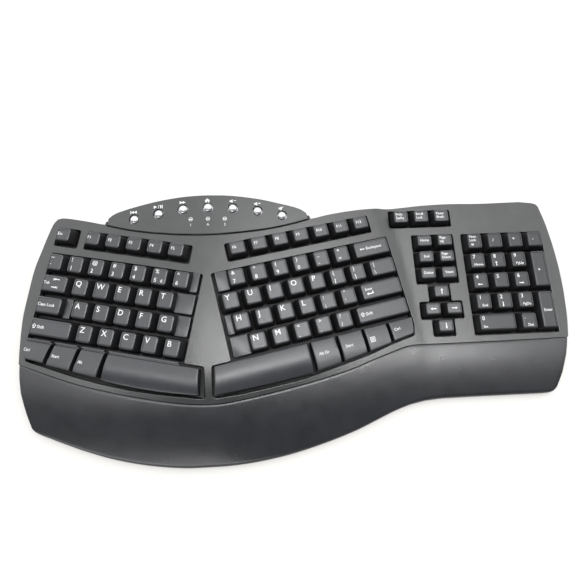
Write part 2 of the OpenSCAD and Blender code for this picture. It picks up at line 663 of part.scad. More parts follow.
module palm_rest() color(palm_color) polyhedron(points = palm_points, faces = palm_faces);

function button_places() = [for (i = [0:6]) [button_x[i], button_y[i]]];
function light_places() = [for (x = light_x) [x, light_y]];

module media_panel() color(case_color) difference() {
  intersection() {
    prism(pod_outline, rim_z, tall);
    under_skin(-pod_rise);
  }
  under_skin(pod_sink);
  columns(button_places(), button_r + button_clear, rim_z, tall);
  columns(light_places(), light_r + light_clear, rim_z, tall);
}

// Media buttons: a domed cap, a flange under the panel and a stem over its switch
function button_top(i) = skin_at(button_x[i], button_y[i]) + pod_rise + button_rise;
function flange_top(i) = skin_at(button_x[i], button_y[i]) - pod_sink - flange_gap;
function stem_low(i) = flange_top(i) - flange_t - 1;

module button(i) color(silver_color) translate([button_x[i], button_y[i], 0]) {
  intersection() {
    translate([0, 0, flange_top(i) - flange_t]) cylinder(r = button_r, h = tall);
    translate([0, 0, button_top(i) - dome_ball]) sphere(r = dome_ball);
  }
  translate([0, 0, flange_top(i) - flange_t]) cylinder(r = flange_r, h = flange_t);
  translate([0, 0, stem_low(i)]) cylinder(r = button_r / 2, h = flange_t + 1);
}

module media_board() color(board_color) {
  box(media_board_box[0], media_board_box[1], media_board_box[2], media_board_box[3], media_board_z,
    media_board_z + media_board_t);
  for (i = [0:6]) translate([button_x[i], button_y[i], 0])
    box(-switch_w / 2, switch_w / 2, -switch_w / 2, switch_w / 2, media_board_z + media_board_t,
      stem_low(i) - button_travel);
}

module indicator_lights() color(silver_color) for (x = light_x) translate([x, light_y, 0])
  translate([0, 0, media_board_z + media_board_t])
    cylinder(r = light_r, h = skin_at(x, light_y) + pod_rise - media_board_z - media_board_t);

module controller_board() color(board_color) {
  box(board_box[0], board_box[1], board_box[2], board_box[3], board_z, board_z + board_t);
  translate([(board_box[0] + board_box[1]) / 2, (board_box[2] + board_box[3]) / 2, board_z + board_t])
    linear_extrude(chip_h) square(chip_w, center = true);
}

// One pocket under the floor for a tilt foot, with bores for its pivot pins
module pocket(p) translate([p[0], p[1], 0])
  box(-foot_w / 2 - pocket_gap - pocket_wall, foot_w / 2 + pocket_gap + pocket_wall,
    -foot_l - pocket_gap - pocket_wall, foot_t / 2 + pocket_gap + pocket_wall, floor_z,
    pocket_top + pocket_roof);

module pocket_space(p) translate([p[0], p[1], 0]) {
  box(-foot_w / 2 - pocket_gap, foot_w / 2 + pocket_gap, -foot_l - pocket_gap, foot_t / 2 + pocket_gap,
    floor_z - 1, pocket_top);
  translate([0, 0, pivot_z]) rotate([0, 90, 0])
    cylinder(r = pivot_r + pivot_clear, h = foot_w + 2 * (pocket_gap + pin_l), center = true);
}

module tilt_foot(p) color(case_color) translate([p[0], p[1], pivot_z]) {
  box(-foot_w / 2, foot_w / 2, -foot_l, 0, -foot_t / 2, foot_t / 2);
  rotate([0, 90, 0]) cylinder(r = foot_t / 2, h = foot_w, center = true);
  rotate([0, 90, 0]) cylinder(r = pivot_r, h = foot_w + 2 * pin_l, center = true);
}

module ribs(places, span) for (x = places)
  box(x - rib_t / 2, x + rib_t / 2, span[0], span[1], floor_z, tall);

standoff_list = [for (x = [board_box[0] + standoff_in, board_box[1] - standoff_in])
  for (y = [board_box[2] + standoff_in, board_box[3] - standoff_in]) [x, y]];

module bottom_cover() color(rubber_color) difference() {
  union() {
    prism(case_outline, floor_z, floor_top);
    difference() {
      prism(case_outline, floor_z, rim_z);
      prism(inset(case_outline, wall), floor_z, rim_z + 1);
    }
    intersection() {
      ribs(left_ribs, rib_y_left);
      left_plane() slab(backplate_z);
    }
    intersection() {
      ribs(right_ribs, rib_y_right);
      right_plane() slab(backplate_z);
    }
    intersection() {
      ribs(pad_ribs, rib_y_pad);
      pad_plane() slab(backplate_z);
    }
    columns(post_list, post_r, floor_z, media_board_z);
    columns(standoff_list, standoff_r, floor_z, board_z);
    columns(screw_list, boss_r, floor_z, rim_z);
    for (p = foot_pivots) pocket(p);
  }
  for (p = foot_pivots) pocket_space(p);
  columns(screw_list, screw_r + screw_clear, floor_z - 1, rim_z + 1);
  columns(screw_list, head_r + screw_clear, floor_z - 1, floor_z + head_t);
  columns(pad_list, pad_r, floor_z - 1, floor_z + pad_seat);
}

module case_screws() color(steel_color) for (p = screw_list) translate([p[0], p[1], floor_z]) {
  cylinder(r = head_r, h = head_t);
  cylinder(r = screw_r, h = rim_z - floor_z + screw_l - 1);
}

module rubber_feet() color(rubber_color) columns(pad_list, pad_r, 0, floor_z + pad_seat);

module cable_gland() color(rubber_color) difference() {
  union() {
    box(gland_x - gland_w / 2, gland_x + gland_w / 2, gland_y - gland_l / 2, gland_y + gland_l / 2, rim_z,
      rim_z + gland_h);
    box(gland_x - gland_w / 2 - gland_flange, gland_x + gland_w / 2 + gland_flange, gland_y - gland_l / 2,
      gland_y - gland_l / 2 + gland_flange, rim_z, rim_z + gland_h + gland_flange);
  }
  translate([gland_x, gland_y, gland_z]) rotate([90, 0, 0])
    cylinder(r = cable_r, h = 2 * gland_l, center = true);
}

module left_tilt_foot() tilt_foot(foot_pivots[0]);
module right_tilt_foot() tilt_foot(foot_pivots[1]);
module previous_button() button(0);
module play_button() button(1);
module next_button() button(2);
module home_button() button(3);
module volume_down_button() button(4);
module volume_up_button() button(5);
module mute_button() button(6);
module escape_key() color(key_color) left_plane() caps(escape_list);
module function_keys_left() color(key_color) left_plane() caps(f_left_list);
module function_keys_right() color(key_color) right_plane() caps(f_right_list);
module system_keys() color(key_color) pad_plane() caps(system_list);
module number_keys_left() color(key_color) left_plane() caps(number_left_list);
module number_keys_right() color(key_color) right_plane() caps(number_right_list);
module backspace_key() color(key_color) right_plane() caps(backspace_list);
module tab_key() color(key_color) left_plane() caps(tab_list);
module letter_keys_upper_left() color(key_color) left_plane() caps(upper_left_list);
module letter_keys_upper_right() color(key_color) right_plane() caps(upper_right_list);
module backslash_key() color(key_color) right_plane() caps(backslash_list);
module caps_lock_key() color(key_color) left_plane() caps(caps_list);
module letter_keys_home_left() color(key_color) left_plane() caps(home_left_list);
module letter_keys_home_right() color(key_color) right_plane() caps(home_right_list);
module enter_key() color(key_color) right_plane() caps(enter_list);
module left_shift_key() color(key_color) left_plane() caps(left_shift_list);
module letter_keys_lower_left() color(key_color) left_plane() caps(lower_left_list);
module letter_keys_lower_right() color(key_color) right_plane() caps(lower_right_list);
module right_shift_key() color(key_color) right_plane() caps(right_shift_list);
module left_ctrl_key() color(key_color) left_plane() low_cap(left_ctrl_low);
module left_start_key() color(key_color) left_plane() low_cap(left_start_low);
module left_alt_key() color(key_color) left_plane() low_cap(left_alt_low);
module left_space_bar() color(key_color) left_plane() space_bar(left_space_low, left_space_x);
module right_space_bar() color(key_color) right_plane() space_bar(right_space_low, right_space_x);
module right_alt_key() color(key_color) right_plane() low_cap(right_alt_low);
module right_start_key() color(key_color) right_plane() low_cap(right_start_low);
module menu_key() color(key_color) right_plane() low_cap(menu_low);
module right_ctrl_key() color(key_color) right_plane() low_cap(right_ctrl_low);
module navigation_keys() color(key_color) pad_plane() caps(nav_list);
module arrow_keys() color(key_color) pad_plane() caps(arrow_list);
module keypad_digit_keys() color(key_color) pad_plane() caps(digit_list);
module keypad_zero_key() color(key_color) pad_plane() caps(zero_list);
module keypad_plus_key() color(key_color) pad_plane() caps(plus_list);
module keypad_enter_key() color(key_color) pad_plane() caps(pad_enter_list);
module keypad_operator_keys() color(key_color) pad_plane() caps(operator_list);
module left_space_stabilizer() color(steel_color) left_plane() stabilizer(left_space_x);
module right_space_stabilizer() color(steel_color) right_plane() stabilizer(right_space_x);

bottom_cover();
top_cover();
palm_rest();
media_panel();
key_frames();
dome_sheets();
membranes();
backplates();
controller_board();
media_board();
indicator_lights();
case_screws();
rubber_feet();
cable_gland();
left_tilt_foot();
right_tilt_foot();
previous_button();
play_button();
next_button();
home_button();
volume_down_button();
volume_up_button();
mute_button();
escape_key();
function_keys_left();
function_keys_right();
system_keys();
number_keys_left();
number_keys_right();
backspace_key();
tab_key();
letter_keys_upper_left();
letter_keys_upper_right();
backslash_key();
caps_lock_key();
letter_keys_home_left();
letter_keys_home_right();
enter_key();
left_shift_key();
letter_keys_lower_left();
letter_keys_lower_right();
right_shift_key();
left_ctrl_key();
left_start_key();
left_alt_key();
left_space_bar();
right_space_bar();
right_alt_key();
right_start_key();
menu_key();
right_ctrl_key();
navigation_keys();
arrow_keys();
keypad_digit_keys();
keypad_zero_key();
keypad_plus_key();
keypad_enter_key();
keypad_operator_keys();
left_space_stabilizer();
right_space_stabilizer();
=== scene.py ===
import bpy
import bmesh
import math
import numpy as np
from mathutils import Matrix, Vector


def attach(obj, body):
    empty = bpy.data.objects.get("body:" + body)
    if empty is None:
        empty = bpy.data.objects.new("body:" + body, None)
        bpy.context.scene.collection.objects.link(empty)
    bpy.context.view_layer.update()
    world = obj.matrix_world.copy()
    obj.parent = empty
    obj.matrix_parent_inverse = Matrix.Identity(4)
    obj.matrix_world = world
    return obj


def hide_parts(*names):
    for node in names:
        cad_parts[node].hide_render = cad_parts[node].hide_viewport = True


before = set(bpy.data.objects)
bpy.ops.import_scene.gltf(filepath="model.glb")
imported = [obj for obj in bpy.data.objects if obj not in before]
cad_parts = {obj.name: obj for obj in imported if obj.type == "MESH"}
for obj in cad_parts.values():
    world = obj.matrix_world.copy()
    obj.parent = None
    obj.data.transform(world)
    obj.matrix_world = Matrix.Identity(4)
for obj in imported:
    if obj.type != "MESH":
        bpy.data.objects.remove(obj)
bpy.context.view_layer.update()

mm = 0.001
pitch = 19.05  # from key to key, in mm
level = 1e-6  # heights this close are the same, in m
blockCorner = 2.0  # edges of a block that rise more than this are its corners, in mm
# how far a face looks up or down: the height of its normal
facing = {"upright": 0.3, "flat": 0.7, "roof": 0.95, "floor": -0.9, "capTop": 0.72, "inside": 0.9,
          "shelfTop": 0.5, "lowTop": 0.25}


# small helpers for the edit mode work
def deselectAll():
    if bpy.context.mode != "OBJECT":
        bpy.ops.object.mode_set(mode="OBJECT")
    bpy.ops.object.select_all(action="DESELECT")


def makeActive(obj):
    deselectAll()
    obj.select_set(True)
    bpy.context.view_layer.objects.active = obj


def startEdit(obj, mode="VERT"):
    makeActive(obj)
    bpy.ops.object.mode_set(mode="EDIT")
    bpy.ops.mesh.select_mode(type=mode)
    bpy.ops.mesh.select_all(action="DESELECT")


def stopEdit(outwards=False):
    if outwards:
        bpy.ops.mesh.select_all(action="SELECT")
        bpy.ops.mesh.normals_make_consistent(inside=False)
    bpy.ops.object.mode_set(mode="OBJECT")


def pick(obj, kind, test):
    # selects the edges or faces that pass the test
    bpy.ops.mesh.select_mode(type=kind)
    work = bmesh.from_edit_mesh(obj.data)
    items = work.edges if kind == "EDGE" else work.faces
    for item in items:
        item.select_set(False)
    for item in items:
        if test(item):
            item.select_set(True)
    bmesh.update_edit_mesh(obj.data)


def bevelEdges(obj, test, width, steps, clamp=False):
    pick(obj, "EDGE", test)
    bpy.ops.mesh.bevel(offset=width * mm, segments=steps, affect="EDGES", clamp_overlap=clamp)


def wallDown(obj, height):
    # walls from the open rim down to one height
    pick(obj, "EDGE", lambda edge: edge.is_boundary)
    bpy.ops.mesh.extrude_region_move(TRANSFORM_OT_translate={"value": (0, 0, 0)})
    work = bmesh.from_edit_mesh(obj.data)
    for vert in work.verts:
        if any(edge.is_boundary for edge in vert.link_edges):
            vert.co.z = height * mm
    bmesh.update_edit_mesh(obj.data)


def useModifier(obj, kind, **values):
    makeActive(obj)
    mod = obj.modifiers.new(kind.lower(), kind)
    for key, value in values.items():
        setattr(mod, key, value)
    bpy.ops.object.modifier_apply(modifier=mod.name)


def thicken(obj, wall):
    useModifier(obj, "SOLIDIFY", thickness=wall * mm, offset=-1)


def cutWith(obj, cutter):
    useModifier(obj, "BOOLEAN", operation="DIFFERENCE", solver="EXACT", object=cutter)
    bpy.data.objects.remove(cutter)


def smooth(obj, degrees=35):
    makeActive(obj)
    bpy.ops.object.shade_smooth_by_angle(angle=math.radians(degrees))


def joined(name, parts):
    deselectAll()
    for part in parts:
        part.select_set(True)
    bpy.context.view_layer.objects.active = parts[0]
    if len(parts) > 1:
        bpy.ops.object.join()
    whole = bpy.context.view_layer.objects.active
    whole.name = name
    whole.data.name = name
    return whole


def getCoords(obj):
    flat = np.empty(len(obj.data.vertices) * 3)
    obj.data.vertices.foreach_get("co", flat)
    return flat.reshape(-1, 3)


def setCoords(obj, coords):
    obj.data.vertices.foreach_set("co", np.asarray(coords, dtype=float).ravel())
    obj.data.update()


def placedCopy(obj, matrix):
    # own mesh, with its place in the mesh
    twin = bpy.data.objects.new(obj.name, obj.data.copy())
    bpy.context.collection.objects.link(twin)
    twin.data.transform(matrix)
    return twin


def settle(obj, finish, body, node=None):
    # its finish, the body it rides on and the CAD node it stands for
    if finish:
        obj.data.materials.clear()
        obj.data.materials.append(finishes[finish])
    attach(obj, body)
    if node:
        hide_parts(node)


# key planes of the halves and the keypad, as in the CAD: place of the plane and its turns
planeData = {
    "left": {"pos": (-116.5, 9.3, 41), "turn": (4.1, -6.1, -12.5)},
    "right": {"pos": (-58, 6.6, 41), "turn": (4.1, 6.1, 12.5)},
    "pad": {"pos": (182, 30, 22.5), "turn": (1.7, 0, 0)},
    "crown": {"pos": (-87, 9, 43.2), "turn": (2.7, 0, 0)},
}
# the skin of the case lies under the key tops; crest and valley say how tightly it turns there
skinShape = {"under": -6, "flankTilt": 28, "flankStart": 154, "crest": 0.9, "valley": 0.7, "deep": -15,
             "side": -4.5, "along": 0.97}


def planeTurn(name):
    ax, ay, az = [math.radians(value) for value in planeData[name]["turn"]]
    return Matrix.Rotation(az, 3, "Z") @ Matrix.Rotation(ay, 3, "Y") @ Matrix.Rotation(ax, 3, "X")


def planeMatrix(name):
    place = planeTurn(name).to_4x4()
    place.translation = Vector(planeData[name]["pos"]) * mm
    return place


def skinPlane(name, tilt=0, start=0):
    # normal of the skin over one region, and a point on it
    turn, angle = planeTurn(name), math.radians(tilt)
    normal = turn @ Vector((math.sin(angle), 0, math.cos(angle)))
    base = Vector(planeData[name]["pos"]) + turn @ Vector((start, 0, skinShape["under"]))
    return np.array(normal), np.array(base)


skinPlanes = {name: skinPlane(name) for name in planeData}
skinPlanes["flank"] = skinPlane("right", skinShape["flankTilt"], skinShape["flankStart"])


def planeHeight(name, x, y):
    normal, base = skinPlanes[name]
    return base[2] - (normal[0] * (x - base[0]) + normal[1] * (y - base[1])) / normal[2]


# the case rolls down towards the middle of the seam
frontRoll = {"reach": 32.0, "slope": 0.26, "middle": -72.0, "spread": 95.0, "most": 1.2}


def rollDrop(x, y):
    seam = np.array(edges["seam"])
    behind = y - np.interp(x, seam[:, 0], seam[:, 1])
    share = np.clip(1 - behind / frontRoll["reach"], 0, frontRoll["most"])
    near = np.exp(-((x - frontRoll["middle"]) / frontRoll["spread"]) ** 2)
    return frontRoll["slope"] * frontRoll["reach"] / 2 * share ** 2 * near


def skinHeight(x, y):
    # the tented halves with a soft crest, and a soft valley at the keypad
    tops = [planeHeight(name, x, y) for name in ("left", "right", "crown", "flank")]
    low = np.minimum.reduce(tops)
    tight = skinShape["crest"]
    crest = low - np.log(sum(np.exp(-tight * (top - low)) for top in tops)) / tight
    pad = planeHeight("pad", x, y)
    high = np.maximum(crest, pad)
    tight = skinShape["valley"]
    high = high + np.log(np.exp(tight * (crest - high)) + np.exp(tight * (pad - high))) / tight
    return high - rollDrop(x, y)


def skinNormal(x, y, step=0.5):
    dx = (skinHeight(x + step, y) - skinHeight(x - step, y)) / (2 * step)
    dy = (skinHeight(x, y + step) - skinHeight(x, y - step)) / (2 * step)
    size = np.sqrt(dx * dx + dy * dy + 1)
    return -dx / size, -dy / size, 1 / size


def layOnSkin(obj, floor=None):
    # flat piece bent over the case: depth goes along the skin's normal, deep points drop to the floor
    x, y, z = getCoords(obj).T * 1000
    nx, ny, nz = skinNormal(x, y)
    deep = z < skinShape["deep"]
    side = np.where(deep, 0, np.maximum(z, skinShape["side"]))
    height = skinHeight(x, y) + nz * z
    if floor is not None:
        height = np.where(deep, floor, height)
    setCoords(obj, np.stack([x + nx * side, y + ny * side, height], axis=1) * mm)


def shadeAsSkin(obj):
    # faces that lie along the skin take its normals, so that long slices do not show
    mesh = obj.data
    count = len(mesh.polygons)
    corners, flats = np.empty(len(mesh.loops) * 3), np.empty(count * 3)
    totals, owners = np.empty(count, int), np.empty(len(mesh.loops), int)
    mesh.corner_normals.foreach_get("vector", corners)
    mesh.polygons.foreach_get("normal", flats)
    mesh.polygons.foreach_get("loop_total", totals)
    mesh.loops.foreach_get("vertex_index", owners)
    corners, flats = corners.reshape(-1, 3), np.repeat(flats.reshape(-1, 3), totals, axis=0)
    x, y, z = getCoords(obj).T * 1000
    skin = np.stack(skinNormal(x, y), axis=1)[owners]
    along = (flats * skin).sum(axis=1) > skinShape["along"]
    corners[along] = skin[along]
    mesh.normals_split_custom_set(corners.tolist())


# outline of the case seen from above, in mm, and how far it may reach
edges = {
    "left": [(-243, -25), (-243.3, -6), (-242.5, 15), (-240, 32), (-235.5, 57), (-230, 74), (-223, 92.5),
             (-219.5, 99.5), (-216, 103), (-211, 104), (-196, 101), (-183, 97.5), (-172, 94)],
    "podRear": [(-172, 94), (-171.3, 95.8), (-169.2, 98.8), (-166, 101.8), (-162, 104.2), (-156, 106.6),
                (-144, 109.8), (-123.5, 113.4), (-102, 115.6), (-80, 116.4), (-58, 116), (-34, 113.4),
                (-15, 109.5), (-4, 106.5), (4.6, 103), (9.4, 99.4), (12.2, 96.4), (13, 93.8)],
    "right": [(13, 93.8), (29, 98.3), (56, 103.3), (86, 106.2), (132, 108.2), (170, 108.8), (226, 109.3),
              (232, 107.8), (235, 104.5), (236.6, 99), (238.5, 85), (241.3, 63.5), (242.8, 44), (243.2, 24),
              (242.6, 10), (241.5, -6), (239, -23)],
    "front": [(-243, -25), (-242, -37), (-240, -49), (-235, -65), (-231, -76), (-227, -81.5), (-210, -89),
              (-187, -98), (-164, -105.5), (-141, -111), (-118, -114.6), (-96, -116.4), (-73, -116.4),
              (-50, -115), (-25, -111.5), (-8, -108), (16, -101.6), (41, -93.5), (58, -86.5), (76, -79),
              (90, -74.4), (104, -71.6), (119, -70.4), (145, -70.2), (179, -70.2), (212, -70.2), (218, -69),
              (222, -65.5), (229, -52), (235, -37), (239, -23)],
    "seam": [(-243, -25), (-226, -31.5), (-208, -38.5), (-188, -45.5), (-168, -51.1), (-149, -55.9),
             (-130, -60.1), (-111, -63.7), (-94, -66), (-80, -66.8), (-68, -66.3), (-57, -64.7), (-40, -61.7),
             (-20, -57.7), (0, -53.3), (20, -48.3), (40, -42.5), (60, -35.1), (80, -28.2), (90, -25),
             (98, -23.9), (132, -23.8), (185, -23.6), (239, -23)],
    "podSeam": [(10, 92), (-7, 87), (-26, 82.6), (-51, 78.8), (-75, 76.8), (-99, 77.4), (-124, 80.6),
                (-148, 85.4), (-169, 91.6)],
}
farthest = {"low": (-243.25, -116.35), "high": (243.15, 116.35)}


def spline(points, spacing=4.0):
    # smooth curve through the points, sampled about every few mm
    pts = np.array(points, dtype=float)
    ext = np.vstack([2 * pts[0] - pts[1], pts, 2 * pts[-1] - pts[-2]])
    result = []
    for i in range(1, len(ext) - 2):
        a, b, c, d = ext[i - 1:i + 3]
        before, span, after = [np.linalg.norm(way) for way in (b - a, c - b, d - c)]
        slopeB = (c - a) / (span + before) * span
        slopeC = (d - b) / (after + span) * span
        steps = max(1, int(round(span / spacing)))
        for t in np.arange(steps) / steps:
            h = (2 * t**3 - 3 * t**2 + 1) * b + (t**3 - 2 * t**2 + t) * slopeB
            result.append(h + (-2 * t**3 + 3 * t**2) * c + (t**3 - t**2) * slopeC)
    result.append(pts[-1])
    return np.clip(np.array(result), farthest["low"], farthest["high"])


curves = {name: spline(points) for name, points in edges.items()}


def rounded(points, radius, steps=4, most=0.45):
    # polygon with rounded corners, a corner takes at most this share of a side
    result = []
    pts = [np.array(point, dtype=float) for point in points]
    for i, corner in enumerate(pts):
        toPrev = pts[i - 1] - corner
        toNext = pts[(i + 1) % len(pts)] - corner
        sizePrev, sizeNext = np.linalg.norm(toPrev), np.linalg.norm(toNext)
        cut = min(radius, most * sizePrev, most * sizeNext)
        a = corner + toPrev / sizePrev * cut
        b = corner + toNext / sizeNext * cut
        for t in np.arange(steps + 1) / steps:
            result.append((1 - t)**2 * a + 2 * t * (1 - t) * corner + t**2 * b)
    return result


def offsetLoop(points, amount):
    # closed loop moved sideways, outwards for a clockwise loop
    pts = np.array(points, dtype=float)
    ahead = np.roll(pts, -1, axis=0) - pts
    back = pts - np.roll(pts, 1, axis=0)
    way = ahead / np.linalg.norm(ahead, axis=1)[:, None] + back / np.linalg.norm(back, axis=1)[:, None]
    way /= np.linalg.norm(way, axis=1)[:, None]
    return pts + amount * np.stack([-way[:, 1], way[:, 0]], axis=1)


def boxLoop(x0, x1, y0, y1):
    return [(x0, y1), (x1, y1), (x1, y0), (x0, y0)]


def slab(name, points, top, bottom):
    # flat plate with the given outline
    deselectAll()
    bpy.ops.mesh.primitive_circle_add(vertices=len(points), radius=0.1, fill_type="NGON")
    obj = bpy.context.active_object
    obj.name = name
    setCoords(obj, [(point[0] * mm, point[1] * mm, bottom * mm) for point in points])
    startEdit(obj, "FACE")
    bpy.ops.mesh.select_all(action="SELECT")
    bpy.ops.mesh.extrude_region_move(TRANSFORM_OT_translate={"value": (0, 0, (top - bottom) * mm)})
    stopEdit(outwards=True)
    return obj


def sliceGrid(obj, spacing=6.0):
    # cuts across the plate so that it can bend
    coords = getCoords(obj)
    low, high = coords.min(axis=0), coords.max(axis=0)
    startEdit(obj)
    for axis in (0, 1):
        count = int((high[axis] - low[axis]) / (spacing * mm))
        for k in range(1, count + 1):
            place, normal = [0, 0, 0], [0, 0, 0]
            place[axis] = low[axis] + (high[axis] - low[axis]) * k / (count + 1)
            normal[axis] = 1
            bpy.ops.mesh.select_all(action="SELECT")
            bpy.ops.mesh.bisect(plane_co=place, plane_no=normal, use_fill=False)
    stopEdit()


# materials, all from noise on object coordinates
def newMaterial(name):
    mat = bpy.data.materials.new(name)
    mat.use_nodes = True
    return mat, mat.node_tree, mat.node_tree.nodes["Principled BSDF"]


def addNode(tree, kind, values=None):
    node = tree.nodes.new("ShaderNode" + kind)
    for name, value in (values or {}).items():
        node.inputs[name].default_value = value
    return node


def link(tree, start, output, end, socket):
    tree.links.new(start.outputs[output], end.inputs[socket])


plasticNoise = {"mottle": 60.0, "low": 0.3, "high": 0.7, "fineShare": 0.6, "polish": 0.025,
                "relief": 0.0002}


def plasticMaterial(name, color, rough, grain, bump, vary=0.12, specular=0.5):
    noise = plasticNoise
    mat, tree, shader = newMaterial(name)
    coord = addNode(tree, "TexCoord")
    fine = addNode(tree, "TexNoise", {"Scale": grain, "Detail": 2.0})
    broad = addNode(tree, "TexNoise", {"Scale": noise["mottle"], "Detail": 4.0})
    link(tree, coord, "Object", fine, "Vector")
    link(tree, coord, "Object", broad, "Vector")
    # colour: the base tone, a little lighter and darker in patches and grain
    tones = addNode(tree, "ValToRGB")
    stops = ((noise["low"], 1 - vary), (noise["high"], 1 + vary))
    for stop, (position, share) in zip(tones.color_ramp.elements, stops):
        stop.position = position
        stop.color = [value * share for value in color] + [1]
    blend = addNode(tree, "Mix")
    blend.data_type = "FLOAT"
    blend.inputs["Factor"].default_value = noise["fineShare"]
    link(tree, broad, "Fac", blend, "A")
    link(tree, fine, "Fac", blend, "B")
    link(tree, blend, "Result", tones, "Fac")
    link(tree, tones, "Color", shader, "Base Color")
    polish = addNode(tree, "MapRange", {
        "From Min": noise["low"], "From Max": noise["high"],
        "To Min": rough - noise["polish"], "To Max": rough + noise["polish"]})
    link(tree, broad, "Fac", polish, "Value")
    link(tree, polish, "Result", shader, "Roughness")
    shader.inputs["Specular IOR Level"].default_value = specular
    relief = addNode(tree, "Bump", {"Strength": bump, "Distance": noise["relief"]})
    link(tree, fine, "Fac", relief, "Height")
    link(tree, relief, "Normal", shader, "Normal")
    return mat


steel = {"color": (0.55, 0.55, 0.57, 1), "rough": 0.32, "smoother": 0.08, "rougher": 0.12,
         "stretch": (400.0, 40.0, 400.0), "lines": 6.0, "bump": 0.1, "relief": 0.0001}


def steelMaterial():
    mat, tree, shader = newMaterial("plainSteel")
    coord = addNode(tree, "TexCoord")
    stretch = addNode(tree, "Mapping", {"Scale": steel["stretch"]})
    lines = addNode(tree, "TexNoise", {"Scale": steel["lines"]})
    link(tree, coord, "Object", stretch, "Vector")
    link(tree, stretch, "Vector", lines, "Vector")
    polish = addNode(tree, "MapRange", {
        "To Min": steel["rough"] - steel["smoother"], "To Max": steel["rough"] + steel["rougher"]})
    link(tree, lines, "Fac", polish, "Value")
    link(tree, polish, "Result", shader, "Roughness")
    relief = addNode(tree, "Bump", {"Strength": steel["bump"], "Distance": steel["relief"]})
    link(tree, lines, "Fac", relief, "Height")
    link(tree, relief, "Normal", shader, "Normal")
    shader.inputs["Base Color"].default_value = steel["color"]
    shader.inputs["Metallic"].default_value = 1.0
    return mat


# colour, roughness, grain, bump, and where they differ the variation and specular level
plastics = {
    "casePlastic": ((0.0175, 0.0186, 0.019), 0.3, 1000, 0.4, 0.3),
    "palmPlastic": ((0.0085, 0.009, 0.0108), 0.29, 1000, 0.3, 0.25),
    "keyTopPlastic": ((0.0165, 0.0176, 0.0205), 0.32, 1600, 0.35, 0.28, 0.47),
    # darker copy of the key top plastic for the keypad: painted shade
    "padKeyPaintedShade": ((0.0135, 0.0144, 0.0168), 0.34, 1600, 0.35, 0.28, 0.36),
    # key flank colour: partly the caps' own dark plastic, partly painted shade
    "keySideToneAndShade": ((0.006, 0.0062, 0.0068), 0.5, 2600, 0.15, 0.15, 0.2),
    "inkWhite": ((0.43, 0.44, 0.44), 0.5, 3000, 0.1, 0.05),
    "darkPlastic": ((0.016, 0.016, 0.017), 0.55, 1500, 0.35, 0.2),
    "frameBlack": ((0.006, 0.006, 0.0065), 0.7, 1500, 0.3, 0.2),
    "silverPaint": ((0.42, 0.42, 0.435), 0.3, 3000, 0.08, 0.06),
    "iconGrey": ((0.36, 0.37, 0.37), 0.5, 3000, 0.1, 0.06),
    "domeSilicone": ((0.2, 0.2, 0.2), 0.6, 900, 0.2),
    "printedFilm": ((0.32, 0.34, 0.32), 0.4, 500, 0.1),
    "boardGreen": ((0.02, 0.09, 0.04), 0.4, 700, 0.2),
    "padRubber": ((0.012, 0.012, 0.012), 0.8, 1200, 0.5),
}
silverMetallic = 0.85
finishes = {name: plasticMaterial(name, *values) for name, values in plastics.items()}
silverShader = finishes["silverPaint"].node_tree.nodes["Principled BSDF"]
silverShader.inputs["Metallic"].default_value = silverMetallic
finishes["plainSteel"] = steelMaterial()
print("materials done")


# wells: polygons in the key planes, in mm
leftSide = -6 * pitch + 0.15
leftEnd = 1.25 * pitch + 1.1
rightSide = -11.07
rightEnd = 8 * pitch + 0.55
wellBack = 2 * pitch - 0.58
lowRowBack = -38.9
arrowWell = [(-3.98, 2.5), (-1.92, 2.5), (-1.92, 0.02), (-2.41, 0.02), (-2.41, -0.85), (-1.91, -0.85),
             (-1.91, -1.7), (-2.41, -1.7), (-2.41, -2.52), (-3.47, -2.52), (-3.47, -1.7), (-3.97, -1.7),
             (-3.97, -0.85), (-3.47, -0.85), (-3.47, 0.02), (-3.98, 0.02)]
wells = [
    ("left", [(leftSide, wellBack), (leftEnd, wellBack), (leftEnd, lowRowBack), (41.7, lowRowBack),
              (47.6, -63.2), (43.5, -64.4), (9, -66.8), (-15, -67.4), (-42, -66.3), (-67.6, -64.1),
              (-92.5, -60.7), (-110.6, -58.3), (leftSide, lowRowBack)]),
    ("left", boxLoop(leftSide, -4.85 * pitch, 44.2, 61.2)),
    ("left", boxLoop(-4.53 * pitch + 0.15, 0.58 * pitch, 44.4, 61.2)),
    ("right", [(rightSide, wellBack), (rightEnd, wellBack), (rightEnd, -46), (149.9, -56.2), (128, -58.6),
               (105, -62.6), (80.4, -65), (56, -67.2), (44.4, -68.2), (17, -67.8), (-10.8, -66.7),
               (-30.4, -64.6), (-32.2, -62.6), (-27.5, lowRowBack), (rightSide, lowRowBack)]),
    ("right", boxLoop(0.31 * pitch, 7.35 * pitch + 0.55, 44.4, 61.2)),
    ("pad", boxLoop(-5.01 * pitch, -1.92 * pitch, 2.91 * pitch, 3.8 * pitch)),
    ("pad", [(x * pitch, y * pitch) for x, y in arrowWell]),
    ("pad", boxLoop(-1.53 * pitch, 2.5 * pitch, -2.54 * pitch, 2.48 * pitch)),
]
wellCorner = 1.6


def wellLoop(plane, points):
    place = planeMatrix(plane)
    spots = [place @ (Vector((x, y, skinShape["under"])) * mm) for x, y in rounded(points, wellCorner)]
    return [(spot.x * 1000, spot.y * 1000) for spot in spots]


# the upper edge leans in from the outline, by these amounts on each stretch
lean = {"left": 2.4, "rearLeft": 1.6, "cornerLeft": 1.6, "pod": 3.0, "rearRight": 1.3, "cornerRight": 4.4,
        "right": 2.4, "seamEnd": 2.6}
# where the stretches meet, in mm
leanEnds = {"leftX": -214, "leftY": 88, "cornerX": -207, "podRamp": 16, "podLeast": 0.3, "rightX": 226.5,
            "rightY": 97, "valleyX": (95, 118, 150, 172), "valley": (1, 0.05, 0.05, 1), "soften": 3}
topLoop = np.vstack([curves["left"][:-1], curves["podRear"][:-1], curves["right"][:-1],
                     curves["seam"][:0:-1]])


